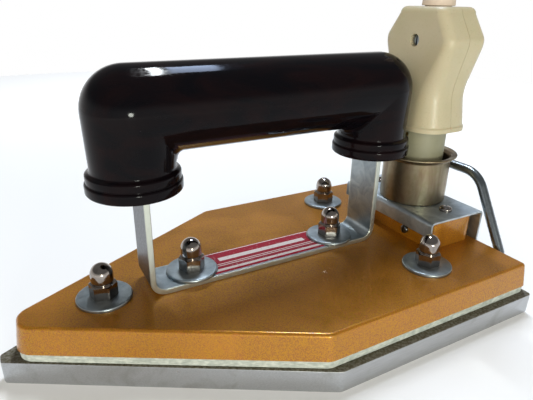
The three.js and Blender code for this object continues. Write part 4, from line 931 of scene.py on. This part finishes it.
def makeConnectorShells():
    shell = {"wall": 2.2, "bore": 13.8, "boreTop": 89.9, "boreOver": 0.6, "neck": 6.7, "bushSeat": 140.5,
             "neckLow": 138, "neckHigh": 146, "screwHeight": 127.35, "face": 13.2, "boss": 5, "bossEnd": 13.0,
             "recess": 3.0, "recessDepth": 3.4, "nutRecess": 3.1, "nutDepth": 3.0, "seam": 0.1, "edge": 0.2}
    bolt = {"radius": 1.8, "headRadius": 2.7, "headHeight": 1.7, "length": 17}
    whole = drawOut("plugShell", mouldingOutlines())
    inner = mouldingOutlines(shell["wall"], shell["boreTop"], shell["bushSeat"])
    inner.append([Vector((point.x, point.y, shell["bushSeat"])) for point in inner[-1]])
    useBoolean(whole, drawOut("plugHollow", inner))
    height, x = shell["screwHeight"], plugX
    useBoolean(whole, addRod(shell["bore"], (x, 0, 80), (x, 0, shell["boreTop"] + shell["boreOver"]), 72))
    useBoolean(whole, addRod(shell["neck"], (x, 0, shell["neckLow"]), (x, 0, shell["neckHigh"])))
    boss = addRod(shell["boss"], (x - shell["bossEnd"], 0, height), (x + shell["bossEnd"], 0, height))
    useBoolean(whole, boss, "UNION")
    for end, radius, deep in (
            (-1, shell["recess"], shell["recessDepth"]), (1, shell["nutRecess"], shell["nutDepth"])):
        face = x + end * shell["face"]
        useBoolean(whole, addRod(radius, (face + end * 2, 0, height), (face - end * deep, 0, height)))
    for name, end in (("front", -1), ("rear", 1)):
        half = copyPiece(whole, "plugShell." + name, (0, 0, 0))
        low, high = sorted((x - end * 40, x + end * shell["seam"]))
        useBoolean(half, addBlock((low, -40, 70), (high, 40, 160)))
        softenEdges(half, shell["edge"], angle=50)
        finishPiece(half, "cream_moulding", plugBody, ["connector_shell_" + name], smooth=35, weighted=True)
    bpy.data.objects.remove(whole)
    screw = slottedScrew("plugScrew", **bolt)
    layAlong(screw, (-1, 0, 0), (x - shell["face"] + shell["recessDepth"], 0, height))
    finishPiece(screw, "steel", plugBody, ["connector_screw"])


def makeSleeve():
    sleeve = {"radius": 13.5, "bottom": 48.25, "top": 89.6, "slot": 8, "slotFloor": 12.0, "slotOut": 16,
              "slotTop": 81.6, "bore": 3.8, "boreY": 7, "boreTop": 70, "below": 45}
    piece = turnPiece("plugSleeve", profileOf([
        (0, sleeve["bottom"]), (sleeve["radius"], sleeve["bottom"], 0.6),
        (sleeve["radius"], sleeve["top"], 0.4), (0, sleeve["top"])]), place=(plugX, 0), sides=96)
    half, below = sleeve["slot"] / 2, sleeve["below"]
    for end in (-1, 1):
        low, high = sorted((plugX + end * sleeve["slotFloor"], plugX + end * sleeve["slotOut"]))
        useBoolean(piece, addBlock((low, -half, below), (high, half, sleeve["slotTop"])))
        y = end * sleeve["boreY"]
        useBoolean(piece, addRod(sleeve["bore"], (plugX, y, below), (plugX, y, sleeve["boreTop"])))
    finishPiece(piece, "ceramic", plugBody, ["connector_sleeve"], smooth=35)


# The earth strips hook into the sleeve's top and bow out below
def makeSprings():
    spring = {"thickness": 0.6, "width": 7, "hook": 9.6, "seat": 12.6, "out": 14.3, "top": 81.0, "low": 52.25,
              "knee": 3.5, "bowLow": 10, "bowHigh": 15, "shoulder": 22.5, "hookBend": 0.7, "bend": 2.5,
              "edge": 0.12}
    low, seat, out, bend = spring["low"], spring["seat"], spring["out"], spring["bend"]
    for name, end in (("front", -1), ("rear", 1)):
        corners = [Vector((plugX + end * x, 0, z)) for x, z in (
            (spring["hook"], spring["top"]), (seat, spring["top"]), (seat, low + spring["shoulder"]),
            (out, low + spring["bowHigh"]), (out, low + spring["bowLow"]), (seat, low + spring["knee"]),
            (seat, low))]
        path = roundPath(corners, [0, spring["hookBend"], bend, bend, bend, bend, 0], steps=6)
        piece = drawOut("earthStrip." + name,
                        bandOutlines(path, spring["thickness"], [spring["width"]] * len(path)))
        softenEdges(piece, spring["edge"])
        finishPiece(piece, "brass", plugBody, ["earth_spring_" + name], weighted=True)


def makeBush():
    bush = {"low": 137.8, "flangeTop": 140.2, "shoulder": 143.3, "top": 152.3, "hole": 3.6, "flange": 8.4,
            "neck": 6.4, "foot": 8.0, "waist": 7.45, "mouth": 7.4}
    low, flangeTop, shoulder, top = bush["low"], bush["flangeTop"], bush["shoulder"], bush["top"]
    piece = turnPiece("cordBush", profileOf([
        (bush["hole"], low), (bush["flange"], low, 0.3), (bush["flange"], flangeTop, 0.3),
        (bush["neck"], flangeTop), (bush["neck"], shoulder), (bush["foot"], shoulder, 0.4),
        (bush["waist"] + 0.3, shoulder + 3.4, 0.2), (bush["waist"], shoulder + 3.8, 0.2),
        (bush["waist"] + 0.25, shoulder + 4.2, 0.2), (bush["mouth"], top, 0.8), (bush["hole"], top, 0.6)],
        closed=True), place=(plugX, 0), sides=64)
    finishPiece(piece, "bush_rubber", plugBody, ["cord_bush"], smooth=35)


makeSole()
makeGasket()
makeCover()
print("body made")
makeFastenings()
makeStrap()
makeLabelPlate()
makeHandle()
print("handle made")
makeTerminalBox()
makeTerminalCap()
makeShroud()
makeTerminalScrews()
makeInlet()
makeHeelRod()
print("terminals made")
makeConnectorShells()
makeSleeve()
makeSprings()
makeBush()
print("connector made")

# The pieces inside keep their CAD shapes and get their real finishes
for row in frame["record"]["subparts"]:
    for slot in frame["nodes"][row["node"]].material_slots:
        slot.material = finishes[row["material_slot"]]

# Floor, world and lamps, sized in metres apart from the floor's drop
floorLook = {"colour": "#e6e6e4", "size": 0.9, "drop": 0.2, "glow": 0.1, "rim": 0.4, "near": 0.2, "far": 0.7}
clearSelection()
bpy.ops.mesh.primitive_circle_add(vertices=96, radius=floorLook["size"], fill_type="NGON",
                                  location=(0, 0, -floorLook["drop"] * mm))
floor = bpy.context.object
floor.name = "floor"
floorPaper, addToPaper, paperPlace = newFinish("palePaper", {
    "Base Color": linear(floorLook["colour"]), "Roughness": 0.9, "Specular IOR Level": 0.1,
    "Emission Color": (1, 1, 1, 1)})


# One for the camera, mirrors and glass and nought for gathered soft light, then the camera's part alone
def seenDirectly(add):
    path = add("LightPath", None)
    seen = path["Is Camera Ray"]
    for ray in ("Is Glossy Ray", "Is Transmission Ray"):
        seen = add("Math", "Value", {0: seen, 1: path[ray]}, operation="MAXIMUM")
    return seen, path["Is Camera Ray"]


span = addToPaper("VectorMath", "Value", {0: paperPlace}, operation="LENGTH")
glow = addToPaper("MapRange", "Result", {
    "Value": span, "From Min": floorLook["near"], "From Max": floorLook["far"],
    "To Min": floorLook["glow"], "To Max": floorLook["rim"]}, interpolation_type="SMOOTHSTEP")
lit = addToPaper("Math", "Value", {0: seenDirectly(addToPaper)[0], 1: glow}, operation="MULTIPLY")
feed(floorPaper, {"Emission Strength": lit})
floor.data.materials.append(floorPaper)

# The backdrop is white up to a little above the horizon, fades into a dim ceiling and is darker past the toe
studio = {"backdropTop": 0.06, "ceilingFrom": 0.4, "ceiling": 0.2, "soft": 0.8, "toeWall": 0.8,
          "toeWallFrom": -0.35, "toeWallTo": -0.85}
world = bpy.data.worlds.new("studio")
bpy.context.scene.world = world
world.use_nodes = True
addToWorld = partial(addNode, world)
outward = addToWorld("SeparateXYZ", None, {"Vector": addToWorld("TexCoord", "Generated")})
direct, camera = seenDirectly(addToWorld)
fade = addToWorld("MapRange", "Result", {
    "Value": outward["Z"], "From Min": studio["backdropTop"], "From Max": studio["ceilingFrom"],
    "To Min": 1.0, "To Max": studio["ceiling"]}, interpolation_type="SMOOTHSTEP")
wall = addToWorld("MapRange", "Result", {
    "Value": outward["X"], "From Min": studio["toeWallTo"], "From Max": studio["toeWallFrom"],
    "To Min": studio["toeWall"], "To Max": 1.0}, interpolation_type="SMOOTHSTEP")
level = addToWorld("MapRange", "Result", {"Value": direct, "To Min": studio["soft"], "To Max": wall})
room = addToWorld("Math", "Value", {0: fade, 1: level}, operation="MULTIPLY")
shown = addToWorld("Math", "Value", {0: room, 1: camera}, operation="MAXIMUM")
backdrop = world.node_tree.nodes["Background"]
world.node_tree.links.new(shown, backdrop.inputs["Strength"])
backdrop.inputs["Color"].default_value = (1, 1, 1, 1)

# The two tubes lie across the bar, overhead, and give it its highlight
lamps = {
    "frontWindow": {"place": (-0.2, -1.2, 0.125), "shape": "ELLIPSE", "size": (0.24, 0.18), "power": 7,
                    "colour": "#fbfff4"},
    "sideSoftbox": {"place": (-0.85, -0.75, 0.5), "size": (0.7, 0.7), "power": 8.5, "colour": "#fff6ea",
                    "mirrored": False},
    "heelSoftbox": {"place": (0.9, 0.3, 0.6), "size": (0.5, 0.5), "power": 3, "colour": "#f6f8ff",
                    "mirrored": False},
    "brightTube": {"place": (0.2, 0.33, 1.0), "size": (0.03, 0.5), "power": 6, "colour": "#f4fbff",
                   "tilt": -17},
    "blueTube": {"place": (0.31, 0.36, 1.0), "size": (0.14, 0.4), "power": 3.6, "colour": "#c8dcff",
                 "tilt": -17},
}
lampAim = Vector((0, 0, 0.05))
for name, lamp in lamps.items():
    clearSelection()
    place = Vector(lamp["place"])
    aim = (lampAim - place).to_track_quat("-Z", "Y").to_euler()
    if "tilt" in lamp:
        aim = (math.radians(lamp["tilt"]), 0, 0)
    bpy.ops.object.light_add(type="AREA", location=place, rotation=aim)
    light = bpy.context.object
    light.name = name
    light.data.shape = lamp.get("shape", "RECTANGLE")
    light.data.size, light.data.size_y = lamp["size"]
    light.data.energy = lamp["power"]
    light.data.color = linear(lamp["colour"])[:3]
    light.visible_glossy = lamp.get("mirrored", True)

bpy.context.scene.view_settings.view_transform = "Standard"
print("scene lit")
